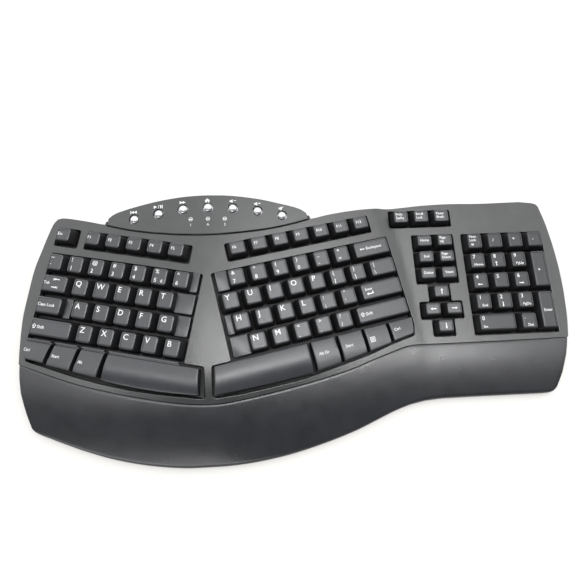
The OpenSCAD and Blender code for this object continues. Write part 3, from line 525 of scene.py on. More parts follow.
def leanedLoop(wall=0.0):
    ends, amounts = leanEnds, []
    for x, y in curves["left"][:-1]:
        rear = lean["cornerLeft"] if x < ends["cornerX"] else lean["rearLeft"]
        amounts.append(lean["left"] if y < ends["leftY"] and x < ends["leftX"] else rear)
    podLeft, podRight = curves["podRear"][[0, -1], 0]
    for x, y in curves["podRear"][:-1]:
        inside = np.clip(min(x - podLeft, podRight - x) / ends["podRamp"], 0, 1)
        amounts.append(lean["pod"] * (ends["podLeast"] + (1 - ends["podLeast"]) * inside))
    for x, y in curves["right"][:-1]:
        side = lean["cornerRight"] if y > ends["rightY"] else lean["right"]
        rear = lean["rearRight"] * np.interp(x, ends["valleyX"], ends["valley"])
        amounts.append(rear if x < ends["rightX"] else side)
    count = len(amounts)
    # soft changes between the stretches
    window = 2 * ends["soften"] + 1
    padded = np.pad(np.array(amounts), ends["soften"], mode="edge")
    amounts = np.convolve(padded, np.ones(window) / window, mode="valid")
    amounts = np.concatenate([amounts, np.zeros(len(topLoop) - count)]) + wall
    loop = offsetLoop(topLoop, -amounts[:, None])
    # the ends of the seam slide along it
    for index, step in ((0, -1), (count, 1)) if not wall else ():
        way = topLoop[(index + step) % len(topLoop)] - topLoop[index]
        loop[index] = topLoop[index] + way / np.linalg.norm(way) * lean["seamEnd"]
    return loop


upperLoop = leanedLoop()
podStart = len(curves["left"]) - 1
podRearEdge = upperLoop[podStart:podStart + len(curves["podRear"])]
podLoop = np.vstack([podRearEdge[2:-2], curves["podSeam"]])


# media panel sizes, which the cover's opening under it also takes
mediaPanel = {"rise": 1.2, "sink": 1.6, "edge": 1.0, "hole": 4.6, "holeEdge": 0.35, "holeSides": 40,
              "drill": 20, "window": 5.6,
              "buttonX": [-144.3, -122.5, -100.8, -79, -57.4, -35.7, -14],
              "buttonY": [95, 98.2, 100.6, 101.4, 101, 98.9, 95]}


def buttonWindow():
    # band along the row of buttons
    half, end = mediaPanel["window"], mediaPanel["window"] + 1
    x = np.array(mediaPanel["buttonX"], dtype=float)
    y = np.array(mediaPanel["buttonY"], dtype=float)
    x[[0, -1]] += (-end, end)
    return list(zip(x, y + half)) + list(zip(x[::-1], y[::-1] - half))


def middleOf(edge):
    return np.array(((edge.verts[0].co + edge.verts[1].co) / 2)[:2]) * 1000


def riseOf(edge):
    return abs(edge.verts[0].co.z - edge.verts[1].co.z)


def nearLoop(loop, point, limit):
    pts = np.asarray(loop)
    ahead = np.roll(pts, -1, axis=0) - pts
    away = point - pts
    t = np.clip((away * ahead).sum(axis=1) / np.maximum((ahead * ahead).sum(axis=1), 1e-9), 0, 1)
    gap = away - t[:, None] * ahead
    return (gap * gap).sum(axis=1).min() < limit * limit


def isTopEdge(edge, height=0.0):
    return len(edge.link_faces) == 2 and all(abs(vert.co.z - height * mm) < level for vert in edge.verts)


def isRim(edge):
    # between a flat face and an upright one
    tilt = sorted(abs(face.normal.z) for face in edge.link_faces)
    return tilt[0] < facing["upright"] and tilt[1] > facing["flat"]


# top cover: a bent plate with wells, and the wall around it
topCover = {"plate": 4.5, "edge": 3.6, "seamEdge": 0.4, "wellEdge": 0.45, "recess": 1.75, "recessGap": 1.0,
            "recessTop": 3, "openFrom": 95.5, "openBy": 8, "cutTop": 5, "cutLow": -12, "rim": 5.5,
            "wall": 2.4, "wallLow": -20, "overlap": 0.6, "cutUp": 2, "cutDown": 4, "inside": -0.03,
            "beside": 2.2, "onWell": 0.05}


def buildTopCover():
    size = topCover
    seam = curves["seam"]
    plate = slab("topCover", upperLoop, 0, -size["plate"])

    def isBeside(edge, points):
        return np.linalg.norm(points - middleOf(edge), axis=1).min() < size["beside"]

    def isOuterEdge(edge):
        return isTopEdge(edge) and not isBeside(edge, podRearEdge) and not isBeside(edge, seam)

    def isSeamEdge(edge):
        return isTopEdge(edge) and isBeside(edge, seam)

    startEdit(plate)
    bevelEdges(plate, isOuterEdge, size["edge"], steps=5, clamp=True)
    bevelEdges(plate, isSeamEdge, size["seamEdge"], steps=3, clamp=True)
    stopEdit()
    # recess for the media panel, open to the rear
    cutter = slab("recessCut", offsetLoop(podLoop, size["recessGap"]), size["recessTop"], -size["recess"])
    coords = getCoords(cutter)
    coords[:, 1] += np.where(coords[:, 1] > size["openFrom"] * mm, size["openBy"] * mm, 0)
    setCoords(cutter, coords)
    cutWith(plate, cutter)
    loops = [wellLoop(plane, points) for plane, points in wells]
    for loop in [buttonWindow()] + loops:
        cutWith(plate, slab("openingCut", loop, size["cutTop"], size["cutLow"]))

    def isWellEdge(edge):
        if not isTopEdge(edge) or not isRim(edge):
            return False
        return any(nearLoop(loop, middleOf(edge), size["onWell"]) for loop in loops)

    startEdit(plate)
    bevelEdges(plate, isWellEdge, size["wellEdge"], steps=2, clamp=True)
    stopEdit()
    sliceGrid(plate)
    layOnSkin(plate)
    # the wall below the plate, all around, with its top edge just inside the plate
    wallTop = -size["plate"] + size["overlap"]
    wall = slab("caseWall", offsetLoop(upperLoop, size["inside"]), wallTop, size["wallLow"])
    coords = getCoords(wall)
    coords[:len(topLoop), :2] = topLoop * mm
    setCoords(wall, coords)
    inner = leanedLoop(size["wall"])
    cutWith(wall, slab("wallCut", inner, -size["plate"] + size["cutUp"], size["wallLow"] - size["cutDown"]))
    layOnSkin(wall, size["rim"])
    return joined("topCover", [plate, wall])


cover = buildTopCover()
smooth(cover)
shadeAsSkin(cover)
settle(cover, "casePlastic", "case", "top_cover")
print("top cover done", len(cover.data.polygons))


# media panel with holes for the buttons
def buildMediaPanel():
    size = mediaPanel
    rise = size["rise"]
    panel = slab("mediaPanel", podLoop, rise, -size["sink"])
    startEdit(panel)
    bevelEdges(panel, lambda edge: isTopEdge(edge, rise), size["edge"], steps=4, clamp=True)
    stopEdit()
    for x, y in zip(size["buttonX"], size["buttonY"]):
        deselectAll()
        bpy.ops.mesh.primitive_cylinder_add(vertices=size["holeSides"], radius=size["hole"] * mm,
                                            depth=size["drill"] * mm, location=(x * mm, y * mm, 0))
        bpy.ops.object.transform_apply(location=True)
        cutWith(panel, bpy.context.active_object)
    startEdit(panel)
    bevelEdges(panel, lambda edge: isTopEdge(edge, rise) and isRim(edge), size["holeEdge"], steps=2,
               clamp=True)
    stopEdit()
    sliceGrid(panel)
    layOnSkin(panel)
    return panel


panel = buildMediaPanel()
smooth(panel)
shadeAsSkin(panel)
settle(panel, "casePlastic", "case", "media_panel")
print("media panel done")


# palm rest: a grid stretched between the seam, the front and both sides
palmRest = {"power": 2.1, "rise": 0.3, "lip": 3.0, "rim": 5.5, "gap": 0.25, "rows": 44, "columns": 150,
            "rowsToEdge": 0.11, "columnsToEdge": 0.04, "seamStart": -243, "width": 482.0, "leftCorner": -229,
            "rightCorner": 222, "rearRound": 2.4, "rearDepth": 0.9, "frontRound": 2.6, "sideRound": 3.6,
            "lean": 1.2, "leanPower": 40, "leanFrom": -60, "leanOver": 35, "fall": 0.44, "fallRight": 0.2,
            "fallX": (30, 100), "least": 0.3, "wall": 2.2, "leftPoints": 6, "rightPoints": 4, "smooth": 40}


def curveY(name, x):
    pts = curves[name]
    return np.interp(x, pts[:, 0], pts[:, 1])


def sideX(points, y):
    pts = np.array(sorted((p[1], p[0]) for p in points))
    return np.interp(y, pts[:, 0], pts[:, 1])


def buildPalmRest():
    size = palmRest
    deselectAll()
    bpy.ops.mesh.primitive_grid_add(x_subdivisions=size["columns"], y_subdivisions=size["rows"], size=2)
    obj = bpy.context.active_object
    obj.name = "palmRest"
    flat = getCoords(obj)
    # more rows near the edges, so that they can be rounded
    s = (flat[:, 0] + 1) / 2
    t = (1 - flat[:, 1]) / 2
    t = t - size["rowsToEdge"] * np.sin(2 * np.pi * t)
    s = s - size["columnsToEdge"] * np.sin(2 * np.pi * s)

    def seamAt(v):
        x = size["seamStart"] + size["width"] * v
        return x, curveY("seam", x) - size["gap"]

    def frontAt(v):
        x = size["leftCorner"] + (size["rightCorner"] - size["leftCorner"]) * v
        return x, curveY("front", x)

    sx, sy = seamAt(s)
    fx, fy = frontAt(s)
    x = sx + (fx - sx) * t
    y = sy + (fy - sy) * t
    leftPoints, rightPoints = edges["front"][:size["leftPoints"]], edges["front"][-size["rightPoints"]:]
    for weight, points, end in ((1 - s, leftPoints, 0.0), (s, rightPoints, 1.0)):
        rearX, rearY = seamAt(end)
        lipX, lipY = frontAt(end)
        x = x + weight * (sideX(points, rearY + (lipY - rearY) * t) - (rearX + (lipX - rearX) * t))
    # the ends lean in near the seam
    ends = (1 - s) ** size["leanPower"] - s ** size["leanPower"]
    x = x + size["lean"] * ends * np.clip((y - size["leanFrom"]) / size["leanOver"], 0, 1)
    low = size["rim"] + size["lip"]
    top = skinHeight(sx, sy) + size["rise"]
    # it falls away from the seam at once on the left, later on the right
    fall = np.interp(x, size["fallX"], (size["fall"], size["fallRight"]))
    z = low + (top - low) * (1 - fall * t - (1 - fall) * t ** size["power"])

    def roundOff(gap, radius, most):
        inside = np.clip(1 - gap / radius, 0, 1)
        return most * (1 - np.sqrt(1 - inside ** 2))

    # rounded rear edge, front lip and ends
    depth = sy - fy
    z = z - roundOff(t * depth, size["rearRound"], size["rearDepth"])
    z = z - roundOff((1 - t) * depth, size["frontRound"], size["frontRound"])
    z = z - roundOff(np.minimum(s, 1 - s) * size["width"], size["sideRound"], size["sideRound"])
    z = np.maximum(z, size["rim"] + size["least"])
    setCoords(obj, np.stack([x, y, z], axis=1) * mm)
    # walls down to the tray
    startEdit(obj)
    wallDown(obj, size["rim"])
    stopEdit(outwards=True)
    thicken(obj, size["wall"])
    return obj


palm = buildPalmRest()
smooth(palm, palmRest["smooth"])
settle(palm, "palmPlastic", "case", "palm_rest")
print("palm rest done")


# keycaps: modelled once for each size, then copied to every place
capShape = {"gap": 0.9, "rowGap": 1.9, "taperX": 6.5, "taperY": 5.2, "height": 9.2, "corner": 1.9,
            "edge": 0.7, "insideBelow": -1.5, "dish": 0.25, "dishRing": 0.95,
            "dishSteps": (0.12, 0.3, 0.28, 0.2, 0.1), "wall": 1.1, "plunger": 6.2, "plungerLow": -11,
            "plungerTop": -1.0, "plungerCorner": 0.4, "smooth": 40, "shelf": -5.0, "shelfCorner": 1.0,
            "shelfEdge": 0.5, "shelfOverlap": 1.6}
capModels = {}


def block(low, high, size, top=None, middle=(0, 0), corner=0.4, steps=2):
    # upright block with rounded corners, narrower at the top where top is given
    deselectAll()
    bpy.ops.mesh.primitive_cube_add(size=1)
    obj = bpy.context.active_object
    coords = getCoords(obj)
    upper = coords[:, 2] > 0
    for axis in (0, 1):
        widths = np.where(upper, (top or size)[axis], size[axis])
        coords[:, axis] = (middle[axis] + coords[:, axis] * widths) * mm
    coords[:, 2] = np.where(upper, high, low) * mm
    setCoords(obj, coords)
    startEdit(obj)
    bevelEdges(obj, lambda edge: riseOf(edge) > blockCorner * mm, corner, steps)
    stopEdit()
    return obj


def openBelow(obj, wall):
    # no floor, and a wall of even thickness
    pick(obj, "FACE", lambda face: face.normal.z < facing["floor"])
    bpy.ops.mesh.delete(type="FACE")
    stopEdit()
    thicken(obj, wall)


def colourFaces(obj, isTop):
    # grey where a face looks up, black on the flanks: partly the caps' two-tone plastic, partly painted shade
    # on the flanks and the outer rims
    obj.data.materials.append(finishes["keyTopPlastic"])
    obj.data.materials.append(finishes["keySideToneAndShade"])
    for face in obj.data.polygons:
        face.material_index = 0 if isTop(face) else 1


def isCapTop(face):
    inside = face.center.z < capShape["insideBelow"] * mm and face.normal.z > facing["inside"]
    return face.normal.z > facing["capTop"] and not inside


def capModel(width, depth):
    key = (round(width, 3), round(depth, 3))
    if key in capModels:
        return capModels[key]
    size = capShape
    obj = block(-size["height"], 0, (width - size["gap"], depth - size["rowGap"]),
                (width - size["taperX"], depth - size["taperY"]), corner=size["corner"], steps=4)
    startEdit(obj)
    bevelEdges(obj, isTopEdge, size["edge"], steps=3)
    # shallow dish in the top
    pick(obj, "FACE", lambda face: face.normal.z > facing["roof"])
    for share in size["dishSteps"]:
        bpy.ops.mesh.inset(thickness=size["dishRing"] * mm)
        bpy.ops.transform.translate(value=(0, 0, -share * size["dish"] * mm))
    openBelow(obj, size["wall"])
    # square plunger under the roof
    stem = block(size["plungerLow"], size["plungerTop"], (size["plunger"], size["plunger"]),
                 corner=size["plungerCorner"])
    obj = joined("cap", [obj, stem])
    smooth(obj, size["smooth"])
    colourFaces(obj, isCapTop)
    obj.hide_render = True
    capModels[key] = obj
    return obj


def shelfModel(width, depth):
    # low block beside a cap
    size = capShape
    obj = block(-size["height"], size["shelf"], (width, depth - size["rowGap"]), corner=size["shelfCorner"],
                steps=3)
    startEdit(obj)
    bevelEdges(obj, lambda edge: isTopEdge(edge, size["shelf"]), size["shelfEdge"], steps=2)
    openBelow(obj, size["wall"])
    smooth(obj, size["smooth"])
    # dark flanks of the shelf are partly painted shade as well
    colourFaces(obj, lambda face: face.normal.z > facing["shelfTop"])
    return obj


# lettering: thin solids in the key tops, sizes in mm
legend = {"thick": 0.11, "sink": -0.09, "bold": 0.01, "capShare": 0.72, "weld": 0.002, "curve": 3,
          "side": 1.9, "top": 1.3, "letter": 4.8, "pair": 3.5, "third": 2.6, "single": 3.3, "digit": 3.6,
          "word": 2.4, "function": 2.6, "low": 2.5, "arrow": 1.15, "pairX": 0.3, "pairTop": 3.2,
          "thirdX": 4.6, "singleX": -2.6, "singleY": -1.2, "tallY": -2.6, "tall": 10, "functionX": -0.2,
          "functionY": -0.6, "wordY": -0.9, "wordSpacing": 0.95}


def textPiece(body, capHeight, x, y, align="LEFT", spacing=1.0):
    # x and y give the left (or middle) of the base line, on the key top
    deselectAll()
    bpy.ops.object.text_add(location=(0, 0, 0))
    obj = bpy.context.active_object
    obj.data.body = body
    obj.data.size = capHeight / legend["capShare"] * mm
    obj.data.align_x = align
    obj.data.space_character = spacing
    obj.data.resolution_u = legend["curve"]
    obj.data.extrude = legend["thick"] * mm
    obj.data.offset = legend["bold"] * capHeight * mm
    makeActive(obj)
    bpy.ops.object.convert(target="MESH")
    obj = bpy.context.active_object
    # one closed skin with its normals outwards
    startEdit(obj)
    bpy.ops.mesh.select_all(action="SELECT")
    bpy.ops.mesh.remove_doubles(threshold=legend["weld"] * mm)
    bpy.ops.mesh.dissolve_degenerate(threshold=legend["weld"] * mm)
    stopEdit(outwards=True)
    obj.data.transform(Matrix.Translation((x * mm, y * mm, legend["sink"] * mm)))
    return obj


def shapePiece(points, x=0.0, y=0.0, scale=1.0):
    # small flat sign from a polygon
    pts = [(x + px * scale, y + py * scale) for px, py in points]
    return slab("sign", pts, legend["sink"] + legend["thick"], legend["sink"] - legend["thick"])


signs = {
    "arrowLeft": [(-2.2, 0), (-0.8, 1.0), (-0.8, 0.35), (2.2, 0.35), (2.2, -0.35), (-0.8, -0.35),
                  (-0.8, -1.0)],
    "shiftSign": [(0, 1.6), (-1.5, 0.1), (-0.75, 0.1), (-0.75, -1.3), (-0.35, -1.3), (-0.35, 0.5),
                  (-0.75, 0.5), (0, 1.1), (0.75, 0.5), (0.35, 0.5), (0.35, -0.9), (-0.32, -0.9),
                  (-0.32, -1.3), (0.75, -1.3), (0.75, 0.1), (1.5, 0.1)],
    "enterSign": [(-2.2, -0.4), (-0.9, 0.5), (-0.9, -0.1), (1.6, -0.1), (1.6, 0.9), (2.2, 0.9), (2.2, -0.7),
                  (-0.9, -0.7), (-0.9, -1.3)],
    "forward": [(-1, 1), (1, 0), (-1, -1)],
    "bar": boxLoop(-0.25, 0.25, -1, 1),
    "speaker": [(-1.6, 0.5), (-0.8, 0.5), (0.4, 1.3), (0.4, -1.3), (-0.8, -0.5), (-1.6, -0.5)],
    "plus": [(-0.7, 0.2), (-0.2, 0.2), (-0.2, 0.7), (0.2, 0.7), (0.2, 0.2), (0.7, 0.2), (0.7, -0.2),
             (0.2, -0.2), (0.2, -0.7), (-0.2, -0.7), (-0.2, -0.2), (-0.7, -0.2)],
    "minus": boxLoop(-0.7, 0.7, -0.2, 0.2),
    "mute": [(0.9, 1.4), (1.2, 1.2), (-0.9, -1.4), (-1.2, -1.2)],
    "slash": [(-0.15, -1.2), (0.15, -1.2), (0.75, 1.2), (0.45, 1.2)],
    "house": [(0, 1.6), (-1.8, 0.1), (-1.2, 0.1), (-1.2, -1.3), (-0.4, -1.3), (-0.4, -0.3), (0.4, -0.3),
              (0.4, -1.3), (1.2, -1.3), (1.2, 0.1), (1.8, 0.1)],
}


def turned(points, degrees):
    c, s = math.cos(math.radians(degrees)), math.sin(math.radians(degrees))
    return [(x * c - y * s, x * s + y * c) for x, y in points]


for name, source, degrees in (("arrowUp", "arrowLeft", -90), ("arrowRight", "arrowLeft", 180),
                              ("arrowDown", "arrowLeft", 90), ("backward", "forward", 180)):
    signs[name] = turned(signs[source], degrees)


ringShape = {"radius": 1.05, "wire": 0.16, "low": -0.09, "high": 0.05,
             "bar": boxLoop(-0.85, 0.85, -0.35, 0.25)}


def ringSign(x, y):
    # a ring with a bar in it, for a lock
    deselectAll()
    bpy.ops.mesh.primitive_torus_add(major_segments=24, major_radius=ringShape["radius"] * mm,
                                     minor_segments=6, minor_radius=ringShape["wire"] * mm)
    ring = bpy.context.active_object
    coords = getCoords(ring)
    coords[:, 2] = np.clip(coords[:, 2], ringShape["low"] * mm, ringShape["high"] * mm)
    setCoords(ring, coords + np.array((x, y, 0)) * mm)
    return [ring, shapePiece(ringShape["bar"], x, y)]


# keys with lettering of their own: word or sign, its size, x from the left edge of the key top and
# y from its middle
keyMarks = {
    "tab": [("Tab", 2.5, 1.6, -0.8), ("arrowLeft", 1.1, 12.8375, 3.9), ("bar", 1.1, 10.0375, 3.9),
            ("arrowRight", 1.1, 11.8375, -3.1), ("bar", 1.1, 14.6375, -3.1)],
    "backspace": [("arrowLeft", 1.05, 6.6, 0.3), ("Backspace", 2.6, 10.2, -0.7)],
    "enter": [("Enter", 2.2, 3.0, 1.0), ("enterSign", 1.45, 6.6, -1.6)],
    "shift": [("shiftSign", 1.35, 4.0, 0.2), ("Shift", 2.7, 6.6, -1.2)],
    "backslash": [("|", 3.5, 2.5, 2.025), ("\\", 3.5, 2.2, -5.025)],
    "capsLock": [("Caps Lock", 2.6, 1.6, -0.8)],
    "padEnter": [("Enter", 2.6, 6.275, -1.65, "CENTER")],
}
# keypad: places of the arrow or word below the digit; two words: places, and the ring under Num Lock
padMarks = {"uprightX": -2.3, "flatX": -1.2, "arrowY": 3.6, "wordX": 0.3, "wideX": 2.4, "wordY": 2.2,
            "wide": 8}
wordMarks = {"x": 1.3, "y": (1.2, -2.3), "spacing": 0.92, "numLift": 2.0, "ringX": 3.6, "ringY": -3.4}


def keyMark(halfX, what, size, x, y, align="LEFT"):
    if what in signs:
        return shapePiece(signs[what], x - halfX, y, size)
    return textPiece(what, size, x - halfX, y, align)


def padLegend(digit, second, halfX, halfY):
    # keypad: digit above, word or arrow below
    left, low = -halfX + legend["side"], -halfY
    parts = [textPiece(digit, legend["digit"], left, halfY - legend["top"] - legend["digit"])]
    if second in signs:
        x = padMarks["uprightX" if second in ("arrowUp", "arrowDown") else "flatX"]
        parts.append(shapePiece(signs[second], x, low + padMarks["arrowY"]))
    elif second:
        x = padMarks["wordX"] if halfX < padMarks["wide"] else left + padMarks["wideX"]
        parts.append(textPiece(second, legend["word"], x, low + padMarks["wordY"], "CENTER"))
    return parts


def wordPair(rows, halfX):
    # two words from the left; Num Lock has a ring under them
    places = wordMarks
    lift = places["numLift"] if rows[0] == "Num" else 0.0
    parts = []
    for row, y in zip(rows, places["y"]):
        parts.append(textPiece(row, legend["word"], places["x"] - halfX, y + lift, spacing=places["spacing"]))
    return parts + (ringSign(places["ringX"] - halfX, places["ringY"]) if lift else [])


def keyLegend(label, halfX, halfY):
    # pieces of one key's lettering, around the middle of the key top
    left, top, low = -halfX + legend["side"], halfY - legend["top"], -halfY + legend["side"]
    if label in signs:
        return [shapePiece(signs[label], scale=legend["arrow"])]
    if label in keyMarks:
        return [keyMark(halfX, *mark) for mark in keyMarks[label]]
    if "|" in label:
        rows = label.split("|")
        if rows[0].isdigit() or rows[0] == ".":
            return padLegend(rows[0], rows[1], halfX, halfY)
        if all(len(row) > 1 for row in rows):
            return wordPair(rows, halfX)
        x = left + legend["pairX"]
        parts = [textPiece(rows[0], legend["pair"], x, top - legend["pairTop"])]
        parts.append(textPiece(rows[1], legend["pair"], x, low))
        if len(rows) > 2:
            parts.append(textPiece(rows[2], legend["third"], halfX - legend["thirdX"], low))
        return parts
    if len(label) == 1 and label.isalpha():
        return [textPiece(label, legend["letter"], left, top - legend["letter"])]
    if len(label) == 1:
        y = legend["singleY"] if halfY < legend["tall"] else legend["tallY"]
        return [textPiece(label, legend["single"], legend["singleX"], y)]
    if label[1:].isdigit() or label == "Esc":
        return [textPiece(label, legend["function"], left + legend["functionX"], legend["functionY"])]
    return [textPiece(label, legend["word"], 0, legend["wordY"], "CENTER", legend["wordSpacing"])]


# rows of keys in pitches: the row's middle, the left end of its first key, and the labels in order;
# shelves are the low blocks to the left and right of one key
keyGroups = [
    dict(body="escape_key", plane="left", row=2.83, depth=0.86, start=-6, labels="Esc"),
    dict(body="function_keys_left", plane="left", row=2.83, depth=0.86, start=-4.53, labels="F1 F2 F3 F4 F5"),
    dict(body="function_keys_right", plane="right", row=2.83, depth=0.86, start=0.35,
         labels="F6 F7 F8 F9 F10 F11 F12"),
    dict(body="number_keys_left", plane="left", row=1.5, start=-6, shelves={6: (0, 0.25)},
         labels="~|` !|1 @|2 #|3 $|4 %|5|\u20ac ^|6"),
    dict(body="number_keys_right", plane="right", row=1.5, start=0, shelves={0: (0.45, 0)},
         labels="&|7 *|8 (|9 )|0 _|- +|="),
    dict(body="backspace_key", plane="right", row=1.5, start=6, width=2, labels="backspace"),
    dict(body="tab_key", plane="left", row=0.5, start=-6, width=1.5, labels="tab"),
    dict(body="letter_keys_upper_left", plane="left", row=0.5, start=-4.5, shelves={4: (0, 0.75)},
         labels="Q W E R T"),
    dict(body="letter_keys_upper_right", plane="right", row=0.5, start=-0.5, labels="Y U I O P {|[ }|]"),
    dict(body="backslash_key", plane="right", row=0.5, start=6.5, width=1.5, labels="backslash"),
    dict(body="caps_lock_key", plane="left", row=-0.5, start=-6, width=1.5, shelves={0: (0, 0.25)},
         labels="capsLock"),
    dict(body="letter_keys_home_left", plane="left", row=-0.5, start=-4.25, shelves={4: (0, 0.5)},
         labels="A S D F G"),
    dict(body="letter_keys_home_right", plane="right", row=-0.5, start=-0.25, shelves={0: (0.2, 0)},
         labels="H J K L :|; \"|'"),
    dict(body="enter_key", plane="right", row=-0.5, start=5.75, width=2.25, labels="enter"),
    dict(body="left_shift_key", plane="left", row=-1.5, start=-6, width=2.25, labels="shift"),
    dict(body="letter_keys_lower_left", plane="left", row=-1.5, start=-3.75, labels="Z X C V B"),
    dict(body="letter_keys_lower_right", plane="right", row=-1.5, start=0.25, shelves={0: (0.7, 0)},
         labels="N M <|, >|. ?|/"),
    dict(body="right_shift_key", plane="right", row=-1.5, start=5.25, width=2.75, labels="shift"),
    dict(body="system_keys", plane="pad", row=3.38, depth=0.86, start=-4.96,
         labels="PrtSc|SysRq Scroll|Lock Pause|Break"),
    dict(body="navigation_keys", plane="pad", depth=0.81, spots=[
        (-3.95, 2.115, "Home"), (-2.95, 2.115, "Page|Up"), (-3.95, 1.299, "End"), (-2.95, 1.299, "Page|Down"),
        (-3.95, 0.483, "Delete"), (-2.95, 0.483, "Insert")]),
    dict(body="arrow_keys", plane="pad", depth=0.81, spots=[
        (-3.44, -0.43, "arrowUp"), (-3.94, -1.255, "arrowLeft"), (-2.94, -1.255, "arrowRight"),
        (-3.44, -2.075, "arrowDown")]),
    dict(body="keypad_digit_keys", plane="pad", spots=[
        (-1.5, 1, "7|Home"), (-0.5, 1, "8|arrowUp"), (0.5, 1, "9|PgUp"), (-1.5, 0, "4|arrowLeft"),
        (-0.5, 0, "5|"), (0.5, 0, "6|arrowRight"), (-1.5, -1, "1|End"), (-0.5, -1, "2|arrowDown"),
        (0.5, -1, "3|PgDn"), (0.5, -2, ".|Del")]),
    dict(body="keypad_zero_key", plane="pad", row=-2, start=-1.5, width=2, labels="0|Ins"),
    dict(body="keypad_plus_key", plane="pad", row=0.5, depth=2, start=1.465, labels="+"),
    dict(body="keypad_enter_key", plane="pad", row=-1.5, depth=2, start=1.465, labels="padEnter"),
    dict(body="keypad_operator_keys", plane="pad", spots=[
        (-1.5, 2, "Num|Lock"), (-0.5, 2, "/"), (0.5, 2, "*"), (1.465, 2, "-")]),
]


def camelName(body):
    words = body.split("_")
    return words[0] + "".join(word.capitalize() for word in words[1:])


def finishKeys(body, caps, marks):
    keys = joined(camelName(body), caps)
    # the keypad's key tops take the darker copy of the key plastic: painted shade
    if body.startswith("keypad"):
        keys.data.materials[0] = finishes["padKeyPaintedShade"]
    settle(keys, None, body, body)
    if marks:
        letters = joined(camelName(body) + "Lettering", marks)
        settle(letters, "inkWhite", body)


for group in keyGroups:
    place = planeMatrix(group["plane"])
    wide = group.get("width", 1)
    width, depth = wide * pitch, group.get("depth", 1) * pitch
    spots = group.get("spots")
    if not spots:
        spots = [(group["start"] + i * wide, group["row"], label)
                 for i, label in enumerate(group["labels"].split(" "))]
    halfX, halfY = (width - capShape["taperX"]) / 2, (depth - capShape["taperY"]) / 2
    flank = (width - capShape["gap"]) / 2
    caps, marks = [], []
    for i, (start, row, label) in enumerate(spots):
        spot = place @ Matrix.Translation(((start * pitch + width / 2) * mm, row * pitch * mm, 0))
        caps.append(placedCopy(capModel(width, depth), spot))
        for side, shelf in zip((-1, 1), group.get("shelves", {}).get(i, (0, 0))):
            if shelf:
                # from the cap's flank to the end of the shelf
                inner, outer = flank - capShape["shelfOverlap"], flank + shelf * pitch
                shelfPiece = shelfModel(outer - inner, depth)
                shelfPiece.data.transform(spot @ Matrix.Translation((side * (inner + outer) / 2 * mm, 0, 0)))
                caps.append(shelfPiece)
        for part in keyLegend(label, halfX, halfY):
            part.data.transform(spot)
            marks.append(part)
    finishKeys(group["body"], caps, marks)
for model in capModels.values():
    bpy.data.objects.remove(model)
print("keys done")


# bottom row: keys that roll down to the front
lowShape = {"rear": -40.0, "rearLeft": -41.2, "rearDrop": 2.4, "inset": 1.6, "depth": 25.0, "drop": 1.8,
            "power": 3.0, "skirt": -9.2, "wall": 1.5, "corner": 1.3, "edge": 0.9, "rows": 14,
            "columns": 8, "barColumns": 28, "steep": 1.5, "cornerBend": 0.9, "edgeBend": 0.5, "topAbove": -8,
            "smooth": 50, "mark": 0.06}
# plunger, lugs for the wire of the space bars, and the lip behind the left keys with its ledge
lowBlocks = {"plunger": 6.2, "plungerLow": -11.0, "plungerTop": -2.4, "lugX": 32.4, "lugY": -54.5,
             "lug": (3.0, 4.0), "lugLow": -6.8, "lugTop": -3.2, "lipRear": -38.9, "lipFront": -39.9,
             "lipTop": -1.6, "lipLow": -4.4, "lipEnd": 2, "ledge": 0.8, "ledgeLow": 0.9, "ledgeTop": 0.1}
leftLowX = [step * pitch for step in (-6, -4.6, -3.35, -2.1, 2.14)]
rightLowX = [step * pitch for step in (-1.41, 2.89, 4.17, 5.43, 6.66, 8)]
lowKeys = [
    dict(body="left_ctrl_key", plane="left", x=leftLowX[0:2], front=(-56.2, -57.4), lean=(3.6, -2.4),
         label="Ctrl", mark=(-110.9, -49.7)),
    dict(body="left_start_key", plane="left", x=leftLowX[1:3], front=(-58.6, -60), lean=(-2.0, -2.0),
         label="Start", mark=(-85.2, -51.3)),
    dict(body="left_alt_key", plane="left", x=leftLowX[2:4], front=(-60.4, -61.6), lean=(-1.9, -1.9),
         label="Alt", mark=(-61.6, -52.6)),
    dict(body="left_space_bar", plane="left", x=leftLowX[3:5], front=(-63, -61.6), lean=(-1.6, 3.6),
         bulge=-2.2, drop=4.4, lipRight=22),
    dict(body="right_space_bar", plane="right", x=rightLowX[0:2], front=(-62, -65), lean=(-4.6, 0),
         bulge=-0.9, drop=4.4),
    dict(body="right_alt_key", plane="right", x=rightLowX[1:3], front=(-64.7, -63.4), label="Alt Gr",
         mark=(60.7, -52.6)),
    dict(body="right_start_key", plane="right", x=rightLowX[2:4], front=(-62.7, -60.6), label="Start",
         mark=(84.8, -52)),
    dict(body="menu_key", plane="right", x=rightLowX[3:5], front=(-60.2, -57.9), label="menu",
         mark=(109.9, -50.8)),
    dict(body="right_ctrl_key", plane="right", x=rightLowX[4:6], front=(-56.7, -54.8), lean=(0, -3.4),
         label="Ctrl", mark=(131.1, -48.5)),
]


def rollHeight(key, y):
    t = np.clip((lowShape["rear"] - y) / lowShape["depth"], 0, 1)
    drop = key.get("drop", lowShape["drop"])
    return -drop * t ** lowShape["power"] - lowShape["rearDrop"] * (1 - t) ** 3


